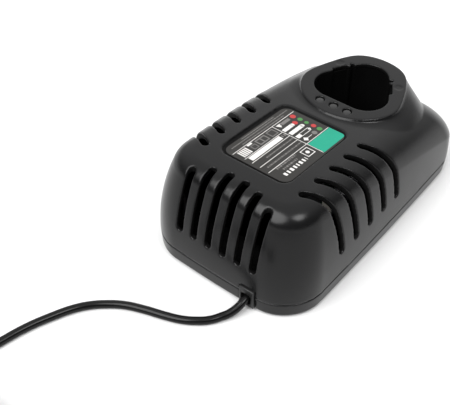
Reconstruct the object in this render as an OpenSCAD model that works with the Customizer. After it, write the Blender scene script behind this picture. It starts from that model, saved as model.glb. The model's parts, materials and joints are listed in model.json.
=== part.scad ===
// Charger for a stick battery pack: slotted housing, battery socket, charging circuit and mains cord.
// Millimetres, +Z up. The floor is z = 0, the cord leaves on the -Y side, the socket is at the +Y end.

/* [Housing] */
// Width across the line where the two housing halves meet
body_width = 98; // [94:1:115]
// Length along the line where the two housing halves meet
body_length = 162; // [158:1:185]
// Height of the highest part of the top above the floor
body_height = 58.8; // [56:0.2:68]
// Height of the line where the two housing halves meet
seam_z = 10; // [9.4:0.2:12]
// Height of the rubber feet below the base
foot_height = 1; // [0.6:0.1:2]
// Wall thickness of the mouldings
wall = 2.5; // [2.2:0.1:3]
// Corner radius in plan at the cord end
front_radius = 22.5; // [19:0.5:26]
// Corner radius in plan at the socket end
rear_radius = 16; // [14:0.5:20]
// How far the long sides curve in towards their ends
side_bow = 1; // [0:0.1:2]
// How far the ends curve in towards the corners
end_bow = 1.5; // [0:0.1:2.5]
// How far the side walls lean in below the shoulder
side_lean = 8.8; // [6:0.2:10]
// Lean of the end walls as a share of the side lean
end_lean = 1.35; // [1:0.05:1.5]
// Radius of the rounded shoulder between the walls and the top
shoulder_radius = 11.1; // [8:0.1:12]
// How much larger that radius has become at the socket end
shoulder_growth = 8; // [4:0.5:9]
// Fall of the top towards the socket end, per millimetre
top_slope = 0.096; // [0.07:0.002:0.11]
// Radius of the curve in which the rear of the top falls away
rear_curve = 500; // [400:10:900]

/* [Socket] */
// Distance of the socket axis from the back end of the housing
socket_back = 41; // [40:0.5:44]
// Radius of each of the three rounded lobes of the socket
lobe_radius = 12.2; // [10.5:0.1:12.4]
// Distance of each lobe centre from the socket axis
lobe_offset = 10.3; // [9:0.1:10.5]
// Height of the socket floor above the inside of the base
socket_floor = 6.8; // [6.4:0.2:9]
// Radius of the round parts of the turret outline
turret_radius = 30.3; // [29.5:0.1:31]
// Distance of the two flats of the turret outline from the axis
turret_flat = 25.6; // [25.2:0.1:27]
// Height of the hump above the turret rim
turret_drop = 4.2; // [3:0.1:5]
// Reach of the concave flare around the turret
flare_reach = 9; // [7:0.5:10]
// Width of the guide ribs inside the socket
rib_width = 2.2; // [1.5:0.1:3]
// Depth of the guide ribs inside the socket
rib_depth = 1.2; // [0.8:0.1:1.6]
// Diameter of the three indicator windows
window_diameter = 5.2; // [4:0.1:5.4]
// Spacing of the indicator windows
window_pitch = 8.4; // [7:0.1:9]

/* [Air slots] */
// Width of the slots in the long sides
side_slot_width = 3.3; // [2.6:0.1:3.8]
// Spacing of the slots in the long sides
side_slot_pitch = 12.54; // [11:0.02:13]
// Angle of the side slots away from the width direction
side_slot_angle = 26.4; // [20:0.2:30]
// Half the distance between the inner ends of the left and right slots
side_slot_inner = 29; // [27:0.5:31]
// Width of the slots in the cord end
end_slot_width = 3.6; // [2.8:0.1:4]
// Spacing of the slots in the cord end
end_slot_pitch = 8.97; // [8.5:0.01:9.2]
// Height of the lower ends of all slots
slot_foot = 24.2; // [22:0.2:30]

/* [Label] */
// Width of the label recess
label_width = 39; // [34:0.5:44]
// Length of the label recess
label_length = 53; // [46:0.5:54]
// Corner radius of the label recess
label_corner = 5; // [3:0.5:7]
// Depth of the label recess at its ends
label_depth = 0.7; // [0.5:0.1:0.9]
// Thickness of the label
label_thickness = 0.3; // [0.2:0.05:0.4]

/* [Cord] */
// Diameter of the mains cord
cord_diameter = 4.2; // [3.6:0.1:4.4]
// Distance of the cord from the middle of the front
cord_x = 20.9; // [18:0.1:21.5]
// Height of the cord where it leaves the housing
cord_z = 7; // [6.6:0.1:7.4]
// Width of the cord gland
gland_width = 8.8; // [8:0.1:9.4]
// Height of the top of the cord gland above the floor
gland_top = 13.6; // [13:0.2:15]
// How far the gland stands out from the front
gland_proud = 0.9; // [0.5:0.1:1.5]

/* [Circuit] */
// Thickness of the circuit board
board_thickness = 1.6; // [1.2:0.1:2]
// Height of the transformer core
core_height = 26; // [20:1:30]
// Diameter of the bulk capacitor
bulk_diameter = 16; // [12:0.5:16]
// Height of the bulk capacitor
bulk_height = 30; // [22:1:34]

/* [Hidden] */

// Colours that several pieces share
steel = [0.6, 0.6, 0.62];
soft_black = [0.05, 0.05, 0.05];

// Smoothness of round features
$fn = 32;
// Gap between curved faces of different pieces
gap = 0.3;
// Radii of the small screws, of their heads and of the holes around them
small_screw = 1;
small_head = 2.2;
small_hole = small_screw + gap;
head_height = 1.5;
// Overlap that makes cuts and joints clean
eps = 0.01;

half_w = body_width / 2;
half_l = body_length / 2;
front_y = -half_l;
socket_y = half_l - socket_back;
turret_z = body_height - turret_drop;
lobe_flat = lobe_radius + lobe_offset / 2;
base_z = foot_height;
floor_z = base_z + wall - 0.3;
// Wall and floor thickness of the battery well, which stands on its seat
well_wall = 2;
well_floor_z = floor_z + socket_floor;
seat_z = well_floor_z - well_wall;

// The top is level over the cord end, eases into its slope, then falls evenly
hump_flat = 23;
hump_ease = 28;
// The rear of the top starts to fall away further at this place
rear_start = -10;
// Power of the curve by which the walls lean in
lean_power = 2.2;
// Angle at which the shoulder arc takes over from the wall
shoulder_start = 18;
// How much the corner radii shrink for each millimetre of inset
front_shrink = 0.75;
rear_shrink = 0.3;
// Power of the concave curve of the flare
flare_power = 0.6;
// Sharpness with which the turret flats meet its round parts
turret_blend = 12;
// Direction of the turret flats from the +Y axis
turret_flat_angle = 68.4;

// Height of the top surface at a position along the length
function top_z(y) =
    let (d = y - front_y - hump_flat, e = max(0, y - rear_start))
    (d < 0 ? body_height
     : d < hump_ease ? body_height - top_slope * d * d / (2 * hump_ease)
     : body_height - top_slope * (d - hump_ease / 2))
    - e * e / (2 * rear_curve);

// Radius of the shoulder at a position along the length
function shoulder_r(y) = shoulder_radius + shoulder_growth * min(1, max(0, y) / 60);

// Height at which the shoulder starts
function shoulder_z(y) = top_z(y) - shoulder_r(y) * (1 - sin(shoulder_start));

// How far the side wall has leaned in at a height
function lean_at(z) = side_lean * pow((z - seam_z) / (body_height - seam_z), lean_power);

// Marks along the right half of the plan outline, from the middle of the front to the middle of the back:
// front edge, front corner, long side, rear corner, back edge, each with a place on that stretch
marks = concat(
    [for (f = [0.25, 0.65]) [0, f]],
    [for (a = [0 : 11.25 : 90]) [1, a]],
    [for (i = [1 : 9]) [2, i / 10]],
    [for (a = [0 : 11.25 : 90]) [3, a]],
    [for (f = [0.65, 0.25]) [4, f]]
);

// Plan position of a mark on an outline of half width w and half length l, bowed gently on all sides
function plan_at(m, w, l, rf, rr) =
    let (v = m[1],
         p = m[0] == 0 ? [v * (w - rf), -l]
             : m[0] == 1 ? [w - rf + rf * sin(v), rf - l - rf * cos(v)]
             : m[0] == 2 ? [w, rf - l + v * (2 * l - rf - rr)]
             : m[0] == 3 ? [w - rr + rr * cos(v), l - rr + rr * sin(v)]
             : [v * (w - rr), l])
    [p[0] * (1 - side_bow / w * pow(p[1] / l, 2)), p[1] * (1 - end_bow / l * pow(p[0] / w, 2))];

// The same with the sides and ends moved in from the seam outline
function inset_at(m, side, end) =
    plan_at(m, half_w - side, half_l - end,
            max(3, front_radius - front_shrink * side), max(3, rear_radius - rear_shrink * side));

function opposite(p) = len(p) == 2 ? [-p[0], p[1]] : [-p[0], p[1], p[2]];
function mirrored(half) = concat(half, [for (i = [len(half) - 1 : -1 : 0]) opposite(half[i])]);

// Closed outline at one inset all round
function outline(inset) = mirrored([for (m = marks) inset_at(m, inset, inset)]);

// One point of the shell: share s of the wall height, or an angle a on the shoulder, below a cover thickness
function shell_point(m, s, a, cover) =
    let (y0 = inset_at(m, 0, 0)[1],
         z0 = seam_z + s * (shoulder_z(y0) - cover - seam_z),
         lean = lean_at(max(seam_z, z0)),
         extra = shoulder_r(y0) * (cos(shoulder_start) - cos(a)),
         p = inset_at(m, cover + lean + extra, cover + end_lean * lean + extra),
         z1 = seam_z + s * (shoulder_z(p[1]) - cover - seam_z))
    [p[0], p[1], z1 + shoulder_r(p[1]) * (sin(a) - sin(shoulder_start))];

// Rings of the shell from the seam to the top
function shell_rings(cover, wall_steps, arc_steps) = concat(
    [for (k = [0 : wall_steps])
        mirrored([for (m = marks) shell_point(m, k / wall_steps, shoulder_start, cover)])],
    [for (k = [1 : arc_steps])
        let (a = shoulder_start + (90 - shoulder_start) * k / arc_steps)
        mirrored([for (m = marks) shell_point(m, 1, a, cover)])]
);

function at_height(points, z) = [for (p = points) [p[0], p[1], z]];

// Faces between two neighbouring rings of n points, the lower one starting at index a
function band(a, n) = [for (i = [0 : n - 1])
    let (p = a + i, q = a + (i + 1) % n)
    each [[p, p + n, q + n], [p, q + n, q]]];

// Closed solid through rings listed from the bottom up; the flat or ruled top is capped across its width
module loft(rings) {
    n = len(rings[0]);
    top = n * (len(rings) - 1);
    polyhedron(
        points = [for (r = rings) each r],
        faces = concat(
            [[for (i = [0 : n - 1]) i]],
            [for (k = [0 : len(rings) - 2]) each band(k * n, n)],
            [for (i = [0 : n / 2 - 2]) [top + i, top + n - 1 - i, top + n - 2 - i, top + i + 1]]
        )
    );
}

// Drop of the shell surface below the top line at a distance u outside the flat top
function shoulder_fall(u, r) =
    u <= 0 ? 0
    : u < r * cos(shoulder_start) ? r - sqrt(r * r - u * u)
    : r * (1 - sin(shoulder_start)) + 2.4 * (u - r * cos(shoulder_start));

// Height of the shell surface at a plan position near the turret
function shell_z(x, y) =
    let (c = 8,
         r = shoulder_r(y),
         lean = lean_at(shoulder_z(y)),
         ux = abs(x) - (half_w - lean - r * cos(shoulder_start)) + c,
         uy = y - (half_l - end_lean * lean - r * cos(shoulder_start)) + c)
    top_z(y) - shoulder_fall(norm([max(0, ux), max(0, uy)]) - c, r);

// Radius of the turret outline in a direction measured from +Y
function turret_r(a) =
    let (round_r = turret_radius - 0.6 * cos(a),
         side = cos(min(abs(a), 360 - abs(a)) - turret_flat_angle),
         flat_r = turret_flat / max(0.05, side))
    pow(pow(round_r, -turret_blend) + pow(flat_r, -turret_blend), -1 / turret_blend);

function turret_point(a, r) = [r * sin(a), socket_y + r * cos(a)];

// The flare reaches less far at the back, where the shell falls away
flare_loss = 2;
function flare_out(a) = flare_reach - flare_loss * pow(max(0, cos(a)), 2);
function flare_curve(t) = pow(1 - pow(t, flare_power), 1 / flare_power);

turret_steps = 48;
turret_angles = [for (i = [0 : turret_steps - 1]) -(i + 0.5) * 360 / turret_steps + 180];
rim_round = 0.8;

// Ring of the flare at a share of its reach
function flare_ring(t) = [for (a = turret_angles)
    let (p = turret_point(a, turret_r(a) + t * flare_out(a)),
         foot = shell_z(p[0], p[1]) - gap)
    [p[0], p[1], foot + max(0, turret_z - rim_round - foot) * flare_curve(t)]];

function turret_ring(out, z) = [for (a = turret_angles)
    let (p = turret_point(a, turret_r(a) + out))
    [p[0], p[1], z]];

// Raised rim around the socket with its concave flare down to the shell
module turret_solid() {
    buried = turret_z - 24;
    loft(concat(
        [turret_ring(-3, buried)],
        [for (t = [1, 0.72, 0.5, 0.33, 0.2, 0.11, 0.05, 0.015]) flare_ring(t)],
        [turret_ring(0, turret_z - rim_round),
         turret_ring(-0.25 * rim_round, turret_z - 0.3 * rim_round),
         turret_ring(-rim_round, turret_z)]
    ));
}

module turret_cavity() {
    depth = 20;
    translate([0, 0, turret_z - wall - depth])
        linear_extrude(depth)
            polygon([for (a = turret_angles) turret_point(a, turret_r(a) - wall)]);
}

// Outline of the socket, moved outwards by a margin
function socket_points(margin) = [for (k = [0 : 2]) for (a = [-60 : 10 : 60])
    [-lobe_offset * sin(120 * k) - (lobe_radius + margin) * sin(120 * k + a),
     lobe_offset * cos(120 * k) + (lobe_radius + margin) * cos(120 * k + a)]];

module socket_outline() {
    rib_place = 6.4;
    difference() {
        polygon(socket_points(0));
        for (side = [-60, 60])
            for (t = [-rib_place, rib_place])
                rotate(side)
                    translate([t, lobe_flat])
                        square([rib_width, 2 * rib_depth], center = true);
    }
}

module at_socket(z) {
    translate([0, socket_y, z])
        children();
}

// Air slots
side_slot_front = -1.1;
side_slot_count = 5;
slot_rise = tan(side_slot_angle);

module side_slot(i) {
    r = side_slot_width / 2;
    inner = [side_slot_inner, side_slot_front - i * side_slot_pitch];
    outer = [half_w + 6, inner[1] + slot_rise * (half_w + 6 - side_slot_inner)];
    hull() {
        for (p = [inner, outer]) {
            translate([p[0], p[1], slot_foot + r])
                cylinder(r = r, h = body_height - slot_foot, $fn = 16);
            translate([p[0], p[1], slot_foot + r])
                sphere(r = r, $fn = 16);
        }
    }
}

end_slot_count = 6;
// The end slots start further forward the further out they are
end_slot_start = 19;
end_slot_sweep = 0.0138;

module end_slot(i) {
    r = end_slot_width / 2;
    x = (i - (end_slot_count - 1) / 2) * end_slot_pitch;
    y_in = front_y + end_slot_start - end_slot_sweep * x * x;
    hull() {
        for (y = [y_in, front_y - 6]) {
            translate([x, y, slot_foot + r])
                cylinder(r = r, h = body_height - slot_foot, $fn = 16);
            translate([x, y, slot_foot + r])
                sphere(r = r, $fn = 16);
        }
    }
}

module air_slots() {
    for (i = [0 : side_slot_count - 1])
        for (m = [0, 1])
            mirror([m, 0, 0])
                side_slot(i);
    for (i = [0 : end_slot_count - 1])
        end_slot(i);
}

// Label: a flat recess that follows the slope of the top
label_y = -24.25;
label_y0 = label_y - label_length / 2;
label_y1 = label_y + label_length / 2;
label_tilt = atan((top_z(label_y0) - top_z(label_y1)) / label_length);
label_mid_z = (top_z(label_y0) + top_z(label_y1)) / 2 - label_depth;

module on_label_floor() {
    translate([0, label_y, label_mid_z])
        rotate([-label_tilt, 0, 0])
            children();
}

// Outline of a rectangle with round corners; each corner has a side in x, a side in y and a first angle
corners = [[1, 1, 0], [-1, 1, 90], [-1, -1, 180], [1, -1, 270]];
function rounded_rect(w, h, r) = [for (c = corners) for (a = [c[2] : 15 : c[2] + 90])
    [c[0] * (w / 2 - r) + r * cos(a), c[1] * (h / 2 - r) + r * sin(a)]];

// Screw posts and their fasteners
post_x = half_w - 11.5;
post_y = half_l - 22;
post_radius = 4.2;
post_split = seam_z + 4;
screw_seat = 8;
housing_head = 2.9;
housing_head_height = 2.2;
housing_screw_length = 17;
// Hole in which a screw cuts its own thread
pilot_radius = 1.55;

module at_posts() {
    for (x = [-post_x, post_x])
        for (y = [-post_y, post_y])
            translate([x, y, 0])
                children();
}

// Gland block: cut-out shared by both housing halves
gland_back = front_y + 3.6;
gland_front = front_y + 0.2 - gland_proud;

module gland_cut() {
    translate([cord_x - gland_width / 2, gland_front - 2, base_z + 1])
        cube([gland_width, gland_back - gland_front + 2, gland_top - base_z - 1]);
}

// Tongue of the base that stands up inside the top
tongue_in = 1.5;
tongue_height = 1.8;
tongue_width = 1;
// Distance of the indicator windows from the socket axis
window_back = 22;

module top_housing() {
    color([0.12, 0.12, 0.125])
        difference() {
            union() {
                loft(shell_rings(0, 5, 6));
                turret_solid();
            }
            difference() {
                union() {
                    loft(concat([at_height(outline(wall), seam_z - 1)], shell_rings(wall, 3, 3)));
                    turret_cavity();
                }
                at_posts()
                    translate([0, 0, post_split])
                        cylinder(r = post_radius, h = body_height);
            }
            // Rebate over the tongue of the base
            loft([at_height(outline(tongue_in - gap), seam_z - 1),
                  at_height(outline(tongue_in - gap), seam_z + tongue_height + gap)]);
            air_slots();
            at_socket(turret_z - wall - 1)
                linear_extrude(wall + 2)
                    socket_outline();
            for (k = [-1, 0, 1])
                translate([k * window_pitch, socket_y - window_back, turret_z - wall - 1])
                    cylinder(d = window_diameter, h = wall + 2);
            on_label_floor()
                linear_extrude(6)
                    polygon(rounded_rect(label_width, label_length, label_corner));
            gland_cut();
            at_posts()
                translate([0, 0, post_split - 1])
                    cylinder(r = pilot_radius, h = 13);
        }
}

// The plan outline at an inset, from one height to another
module outline_between(inset, z0, z1) {
    translate([0, 0, z0])
        linear_extrude(z1 - z0)
            polygon(outline(inset));
}

module base_tray() {
    loft([at_height(outline(1.6), base_z),
          at_height(outline(0.95), base_z + 0.25),
          at_height(outline(0.5), base_z + 0.9),
          at_height(outline(0), seam_z - 0.4),
          at_height(outline(0.8), seam_z - 0.4),
          at_height(outline(0.8), seam_z)]);
    outline_between(tongue_in, seam_z - 1, seam_z + tongue_height);
}

module base_housing() {
    color([0.13, 0.13, 0.135])
        difference() {
            union() {
                difference() {
                    base_tray();
                    outline_between(wall, floor_z, seam_z + 5);
                }
                at_posts()
                    translate([0, 0, base_z + 1])
                        cylinder(r = post_radius, h = post_split - base_z - 1);
                at_board_screws()
                    translate([0, 0, floor_z - eps])
                        cylinder(r = 3.2, h = board_z - floor_z + eps);
                at_clamp_screws()
                    translate([0, 0, floor_z - eps])
                        cylinder(r = clamp_post, h = clamp_z - floor_z + eps);
                // Cradle under the cord jacket
                translate([cord_x - 3, clamp_y - 2, floor_z - eps])
                    cube([6, 4, cord_z - cord_diameter / 2 - gap - floor_z + eps]);
                // Seat of the battery well
                at_socket(floor_z - eps)
                    linear_extrude(seat_z - floor_z + eps)
                        difference() {
                            polygon(socket_points(well_wall - 0.5));
                            polygon(socket_points(-1.5));
                        }
            }
            gland_cut();
            at_posts()
                translate([0, 0, base_z - 1])
                    cylinder(r = housing_head + 0.5, h = screw_seat - base_z + 1);
            at_posts()
                translate([0, 0, base_z])
                    cylinder(r = pilot_radius, h = post_split);
            at_board_screws()
                translate([0, 0, floor_z + 0.5])
                    cylinder(r = small_hole, h = 12);
            at_clamp_screws()
                translate([0, 0, floor_z + 0.5])
                    cylinder(r = small_hole, h = 12);
            at_feet()
                translate([0, 0, base_z - 1])
                    cylinder(r = foot_radius + gap, h = 1 + foot_recess);
            // Air inlets under the circuit
            for (x = [-18 : 7.2 : 18])
                for (y = [front_y + 44, front_y + 70])
                    translate([x - 1.1, y - 9, base_z - 1])
                        cube([2.2, 18, 5]);
            // Way for the contact wires through the well seat
            translate([3, socket_y - lobe_flat - 4, floor_z])
                cube([13, 8, 12]);
        }
}

foot_radius = 5.7;
foot_recess = 0.8;
// Distance of the feet from the sides and from the ends
foot_side = 14;
foot_end = 38;

module at_feet() {
    for (x = [-half_w + foot_side, half_w - foot_side])
        for (y = [-half_l + foot_end, half_l - foot_end])
            translate([x, y, 0])
                children();
}

module rubber_feet() {
    color(soft_black)
        at_feet()
            cylinder(r = foot_radius, h = base_z + foot_recess);
}

module battery_well() {
    color([0.04, 0.04, 0.04])
        difference() {
            at_socket(seat_z)
                linear_extrude(turret_z - wall - seat_z)
                    polygon(socket_points(well_wall));
            at_socket(well_floor_z)
                linear_extrude(turret_z)
                    socket_outline();
            at_socket(seat_z - 1)
                translate([-8, -3, 0])
                    cube([16, 6, 6]);
            at_terminal_screws()
                translate([0, 0, seat_z - 1])
                    cylinder(r = small_hole, h = 6);
        }
}

// Terminals on the floor of the well
block_height = 7;
terminal_screw_grip = 8.5;

module at_terminal_screws() {
    for (x = [-9.6, 9.6])
        translate([x, socket_y, 0])
            children();
}

module terminal_block() {
    color([0.08, 0.08, 0.08])
        difference() {
            union() {
                translate([-12, socket_y - 6, well_floor_z])
                    cube([24, 12, block_height]);
                translate([-7.7, socket_y - 2.7, seat_z - 1.5])
                    cube([15.4, 5.4, 4]);
            }
            at_terminal_screws()
                translate([0, 0, well_floor_z - 1])
                    cylinder(r = small_hole, h = 12);
        }
}

module contact_blades() {
    color([0.85, 0.75, 0.5])
        for (x = [-5.5, 0, 5.5])
            translate([x - 0.4, socket_y - 2.5, well_floor_z + block_height])
                cube([0.8, 5, 9]);
}

module terminal_screws() {
    color(steel)
        at_terminal_screws()
            translate([0, 0, well_floor_z + block_height]) {
                cylinder(r = small_head, h = head_height);
                translate([0, 0, -terminal_screw_grip])
                    cylinder(r = small_screw, h = terminal_screw_grip + eps);
            }
}

module label_plate() {
    color([0.17, 0.16, 0.15])
        on_label_floor()
            linear_extrude(label_thickness)
                polygon(rounded_rect(label_width - 0.6, label_length - 0.6, label_corner - 0.3));
}

// Circuit board: parts at its front are placed from its front edge, parts at its back from its back edge
board_z = 9;
board_side_room = 10;
board_front_room = 30;
board_back_room = 25.5;
board_w = body_width - 2 * board_side_room;
board_front = front_y + board_front_room;
board_back = socket_y - board_back_room;
board_top = board_z + board_thickness;
board_screw_in = 3;
board_screw_grip = 4;
// Narrow strip of the board under the indicator windows
strip_width = 26;
strip_end = socket_y - window_back + 1.8;
led_radius = 1.5;
led_flange = 1.9;
led_height = 4.5;
lead_width = 0.8;

module from_front(x, y) {
    translate([x, board_front + y, board_top])
        children();
}

module from_back(x, y) {
    translate([x, board_back - y, board_top])
        children();
}

// Box that stands on the board, centred on its place
module standing_box(size) {
    translate([-size[0] / 2, -size[1] / 2, 0])
        cube(size);
}

// Row of square leads below a part
module leads(places, height) {
    for (x = places)
        translate([x, 0, 0])
            standing_box([lead_width, lead_width, height]);
}

module at_board_screws() {
    for (x = [-board_w / 2 + board_screw_in, board_w / 2 - board_screw_in])
        for (y = [board_front + board_screw_in, board_back - board_screw_in])
            translate([x, y, 0])
                children();
}

module at_windows() {
    for (k = [-1, 0, 1])
        translate([k * window_pitch, socket_y - window_back, 0])
            children();
}

module circuit_board() {
    color([0.1, 0.35, 0.15])
        difference() {
            union() {
                translate([-board_w / 2, board_front, board_z])
                    cube([board_w, board_back - board_front, board_thickness]);
                translate([-strip_width / 2, board_back - 1, board_z])
                    cube([strip_width, strip_end - board_back + 1, board_thickness]);
            }
            at_board_screws()
                cylinder(r = small_hole, h = board_top + 1);
        }
}

module board_screws() {
    color(steel)
        at_board_screws() {
            translate([0, 0, board_top])
                cylinder(r = small_head, h = head_height);
            translate([0, 0, board_z - board_screw_grip])
                cylinder(r = small_screw, h = board_screw_grip + board_thickness + eps);
        }
}

module indicator_leds() {
    color([0.8, 0.9, 0.8])
        at_windows()
            translate([0, 0, board_top]) {
                cylinder(r = led_flange, h = 1);
                cylinder(r = led_radius, h = led_height);
            }
}

// Three clear pipes on one bar that lies against the underside of the top
module light_pipes() {
    low = board_top + led_height;
    bar = [strip_width, 4.7, 1.4];
    color([0.3, 0.3, 0.3]) {
        at_windows()
            translate([0, 0, low])
                cylinder(r = window_diameter / 2 - gap, h = turret_z - 0.5 - low);
        translate([0, socket_y - window_back - 0.25, turret_z - wall - bar[2]])
            standing_box(bar);
    }
}

// Transformer: an E core whose windows hold the winding
core_width = 28;
core_depth = 24;
core_leg = 3.5;
core_yoke = 4;
core_middle = 9;
core_window = (core_width - core_middle) / 2 - core_leg;
transformer_place = [-1, 34];

module transformer_core() {
    color([0.2, 0.2, 0.22])
        from_front(transformer_place[0], transformer_place[1])
            difference() {
                standing_box([core_width, core_depth, core_height]);
                for (side = [-1, 1])
                    translate([side * (core_middle + core_window) / 2, 0, core_yoke])
                        standing_box([core_window, core_depth + 2, core_height - 2 * core_yoke]);
            }
}

module transformer_winding() {
    winding_gap = 0.5;
    color([0.9, 0.8, 0.2])
        from_front(transformer_place[0], transformer_place[1])
            translate([0, 0, core_yoke + winding_gap])
                difference() {
                    standing_box([core_width - 2 * core_leg - 2 * winding_gap, core_depth + 3,
                                  core_height - 2 * core_yoke - 2 * winding_gap]);
                    translate([0, 0, -1])
                        standing_box([core_middle, core_depth, core_height]);
                }
}

bulk_place = [-26, 28];

module bulk_capacitor() {
    color([0.1, 0.1, 0.3])
        from_front(bulk_place[0], bulk_place[1])
            cylinder(d = bulk_diameter, h = bulk_height, $fn = 48);
}

output_can_radius = 4.5;
output_can_height = 18;
output_can_in = 9.5;
output_can_pitch = 9.3;
output_can_y = 8;

module output_capacitors() {
    color([0.1, 0.2, 0.1])
        for (k = [0, 1])
            from_back(-board_w / 2 + output_can_in + k * output_can_pitch, output_can_y)
                cylinder(r = output_can_radius, h = output_can_height);
}

// Line filter: a wound ring that stands on its carrier
ring_radius = 9;
ring_hole = 4;
ring_width = 10;
ring_z = 12;
carrier = [16, 14, 4];
filter_place = [-20, 10];

module line_filter() {
    color([0.3, 0.4, 0.3])
        from_front(filter_place[0], filter_place[1]) {
            standing_box(carrier);
            translate([0, ring_width / 2, ring_z])
                rotate([90, 0, 0])
                    difference() {
                        cylinder(r = ring_radius, h = ring_width);
                        translate([0, 0, -1])
                            cylinder(r = ring_hole, h = ring_width + 2);
                    }
        }
}

film_capacitor = [17, 8, 14];
film_place = [20, 15.5];

module x_capacitor() {
    color([0.8, 0.7, 0.1])
        from_front(film_place[0], film_place[1])
            standing_box(film_capacitor);
}

fuse_case = [8, 4, 8];
fuse_place = [8, 5];

module fuse() {
    color([0.25, 0.2, 0.15])
        from_front(fuse_place[0], fuse_place[1])
            standing_box(fuse_case);
}

varistor_radius = 5;
varistor_width = 4;
varistor_z = 7.5;
varistor_place = [-4, 5];

module varistor() {
    color([0.2, 0.3, 0.6])
        from_front(varistor_place[0], varistor_place[1]) {
            translate([0, varistor_width / 2, varistor_z])
                rotate([90, 0, 0])
                    cylinder(r = varistor_radius, h = varistor_width);
            leads([-2.5, 2.5], varistor_z - 2.5);
        }
}

rectifier_case = [15, 3.6, 10];
rectifier_z = 3;
rectifier_place = [2, 14];

module bridge_rectifier() {
    color([0.1, 0.1, 0.1])
        from_front(rectifier_place[0], rectifier_place[1]) {
            translate([0, 0, rectifier_z])
                standing_box(rectifier_case);
            leads([-5.7, -1.9, 1.9, 5.7], rectifier_z + 1);
        }
}

// Heatsink: an upright plate with fins on its outer side
sink_x = 27;
sink_y = 34.5;
sink_plate = 2;
sink_length = 26;
sink_height = 26;
fin_length = 3.5;
fin_count = 6;

module heatsink() {
    fin_pitch = (sink_length - sink_plate) / (fin_count - 1);
    color([0.75, 0.75, 0.77])
        from_front(sink_x, sink_y) {
            translate([0, -sink_length / 2, 0])
                cube([sink_plate, sink_length, sink_height]);
            for (k = [0 : fin_count - 1])
                translate([sink_plate - eps, -sink_length / 2 + k * fin_pitch, 0])
                    cube([fin_length + eps, sink_plate, sink_height]);
        }
}

// Two transistors whose metal tabs lie flat against the heatsink
tab_size = [1.3, 10, 15];
case_depth = 4.4;
case_height = 9;
transistor_z = 6;
transistor_spread = 12;
transistor_pitch = 2.5;

module power_transistors() {
    color([0.15, 0.15, 0.15])
        for (side = [-1, 1])
            from_front(sink_x, sink_y + side * transistor_spread / 2) {
                translate([-tab_size[0], -tab_size[1] / 2, transistor_z])
                    cube(tab_size);
                translate([-case_depth, -tab_size[1] / 2, transistor_z])
                    cube([case_depth - tab_size[0] + eps, tab_size[1], case_height]);
                for (k = [-1, 0, 1])
                    translate([-2.5, k * transistor_pitch, 0])
                        standing_box([0.6, lead_width, transistor_z + 1]);
            }
}

// The controller sits on the lower side of the board
chip_case = [10, 4, 1.6];
chip_lead = [0.5, 1, 0.4];

module controller_chip() {
    color([0.1, 0.1, 0.1])
        translate([-1, (board_front + board_back) / 2, board_z]) {
            translate([0, 0, -0.2 - chip_case[2]])
                standing_box(chip_case);
            for (x = [-3.8, -1.3, 1.3, 3.8])
                for (side = [-1, 1])
                    translate([x, side * (chip_case[1] + chip_lead[1]) / 2, -chip_lead[2]])
                        standing_box(chip_lead);
        }
}

header_height = 9;
mains_header_size = [12, 8, header_height];
output_header_size = [8, 6, header_height];
mains_header_y = 5;
output_header_x = 18;
output_header_y = 7.5;

module mains_header() {
    color([0.9, 0.9, 0.85])
        from_front(cord_x, mains_header_y)
            standing_box(mains_header_size);
}

module output_header() {
    color([0.9, 0.9, 0.85])
        from_back(output_header_x, output_header_y)
            standing_box(output_header_size);
}

// Unit vector along v
function unit(v) = v / norm(v);

// Point on a smooth curve through four neighbouring points
function blend(p, t) =
    0.5 * (2 * p[1] + (p[2] - p[0]) * t + (2 * p[0] - 5 * p[1] + 4 * p[2] - p[3]) * t * t
           + (3 * p[1] - p[0] - 3 * p[2] + p[3]) * t * t * t);

// The same path, nowhere lower than a height
function not_below(path, low) = [for (p = path) [p[0], p[1], max(p[2], low)]];

// Smooth path through the listed points, steps pieces between neighbours
function smooth_path(p, steps) =
    let (n = len(p), q = concat([2 * p[0] - p[1]], p, [2 * p[n - 1] - p[n - 2]]))
    concat([for (i = [0 : n - 2]) for (k = [0 : steps - 1])
                blend([q[i], q[i + 1], q[i + 2], q[i + 3]], k / steps)],
           [p[n - 1]]);

// Round closed tube along a path; ref is a direction that the path never runs along
module tube(path, r, ref, sides) {
    m = len(path);
    rings = [for (i = [0 : m - 1])
        let (t = unit(path[min(i + 1, m - 1)] - path[max(i - 1, 0)]),
             u = unit(cross(t, ref)),
             v = cross(u, t))
        [for (k = [0 : sides - 1])
            let (a = k * 360 / sides)
            path[i] + r * cos(a) * u + r * sin(a) * v]];
    polyhedron(
        points = [for (ring = rings) each ring],
        faces = concat(
            [[for (k = [sides - 1 : -1 : 0]) k]],
            [for (i = [0 : m - 2]) for (k = [0 : sides - 1])
                let (a = i * sides + k, b = i * sides + (k + 1) % sides)
                each [[a, b, b + sides], [a, b + sides, a + sides]]],
            [[for (k = [0 : sides - 1]) (m - 1) * sides + k]]
        )
    );
}

// Cord entry: gland with a blind mouth, a web and a tapered sleeve inside
web_front = gland_front + 2.8;
web_back = web_front + 1;
flange_back = gland_back + 2;
sleeve_length = 16;
jacket_end = front_y + 26;
clamp_y = front_y + 24;
clamp_z = cord_z + cord_diameter / 2 + gap;
clamp_thickness = 2.4;
clamp_post = 2.2;
clamp_screw_reach = cord_diameter / 2 + gap + clamp_post + 0.2;
clamp_depth = 3.6;
clamp_screw_grip = 4;

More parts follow.
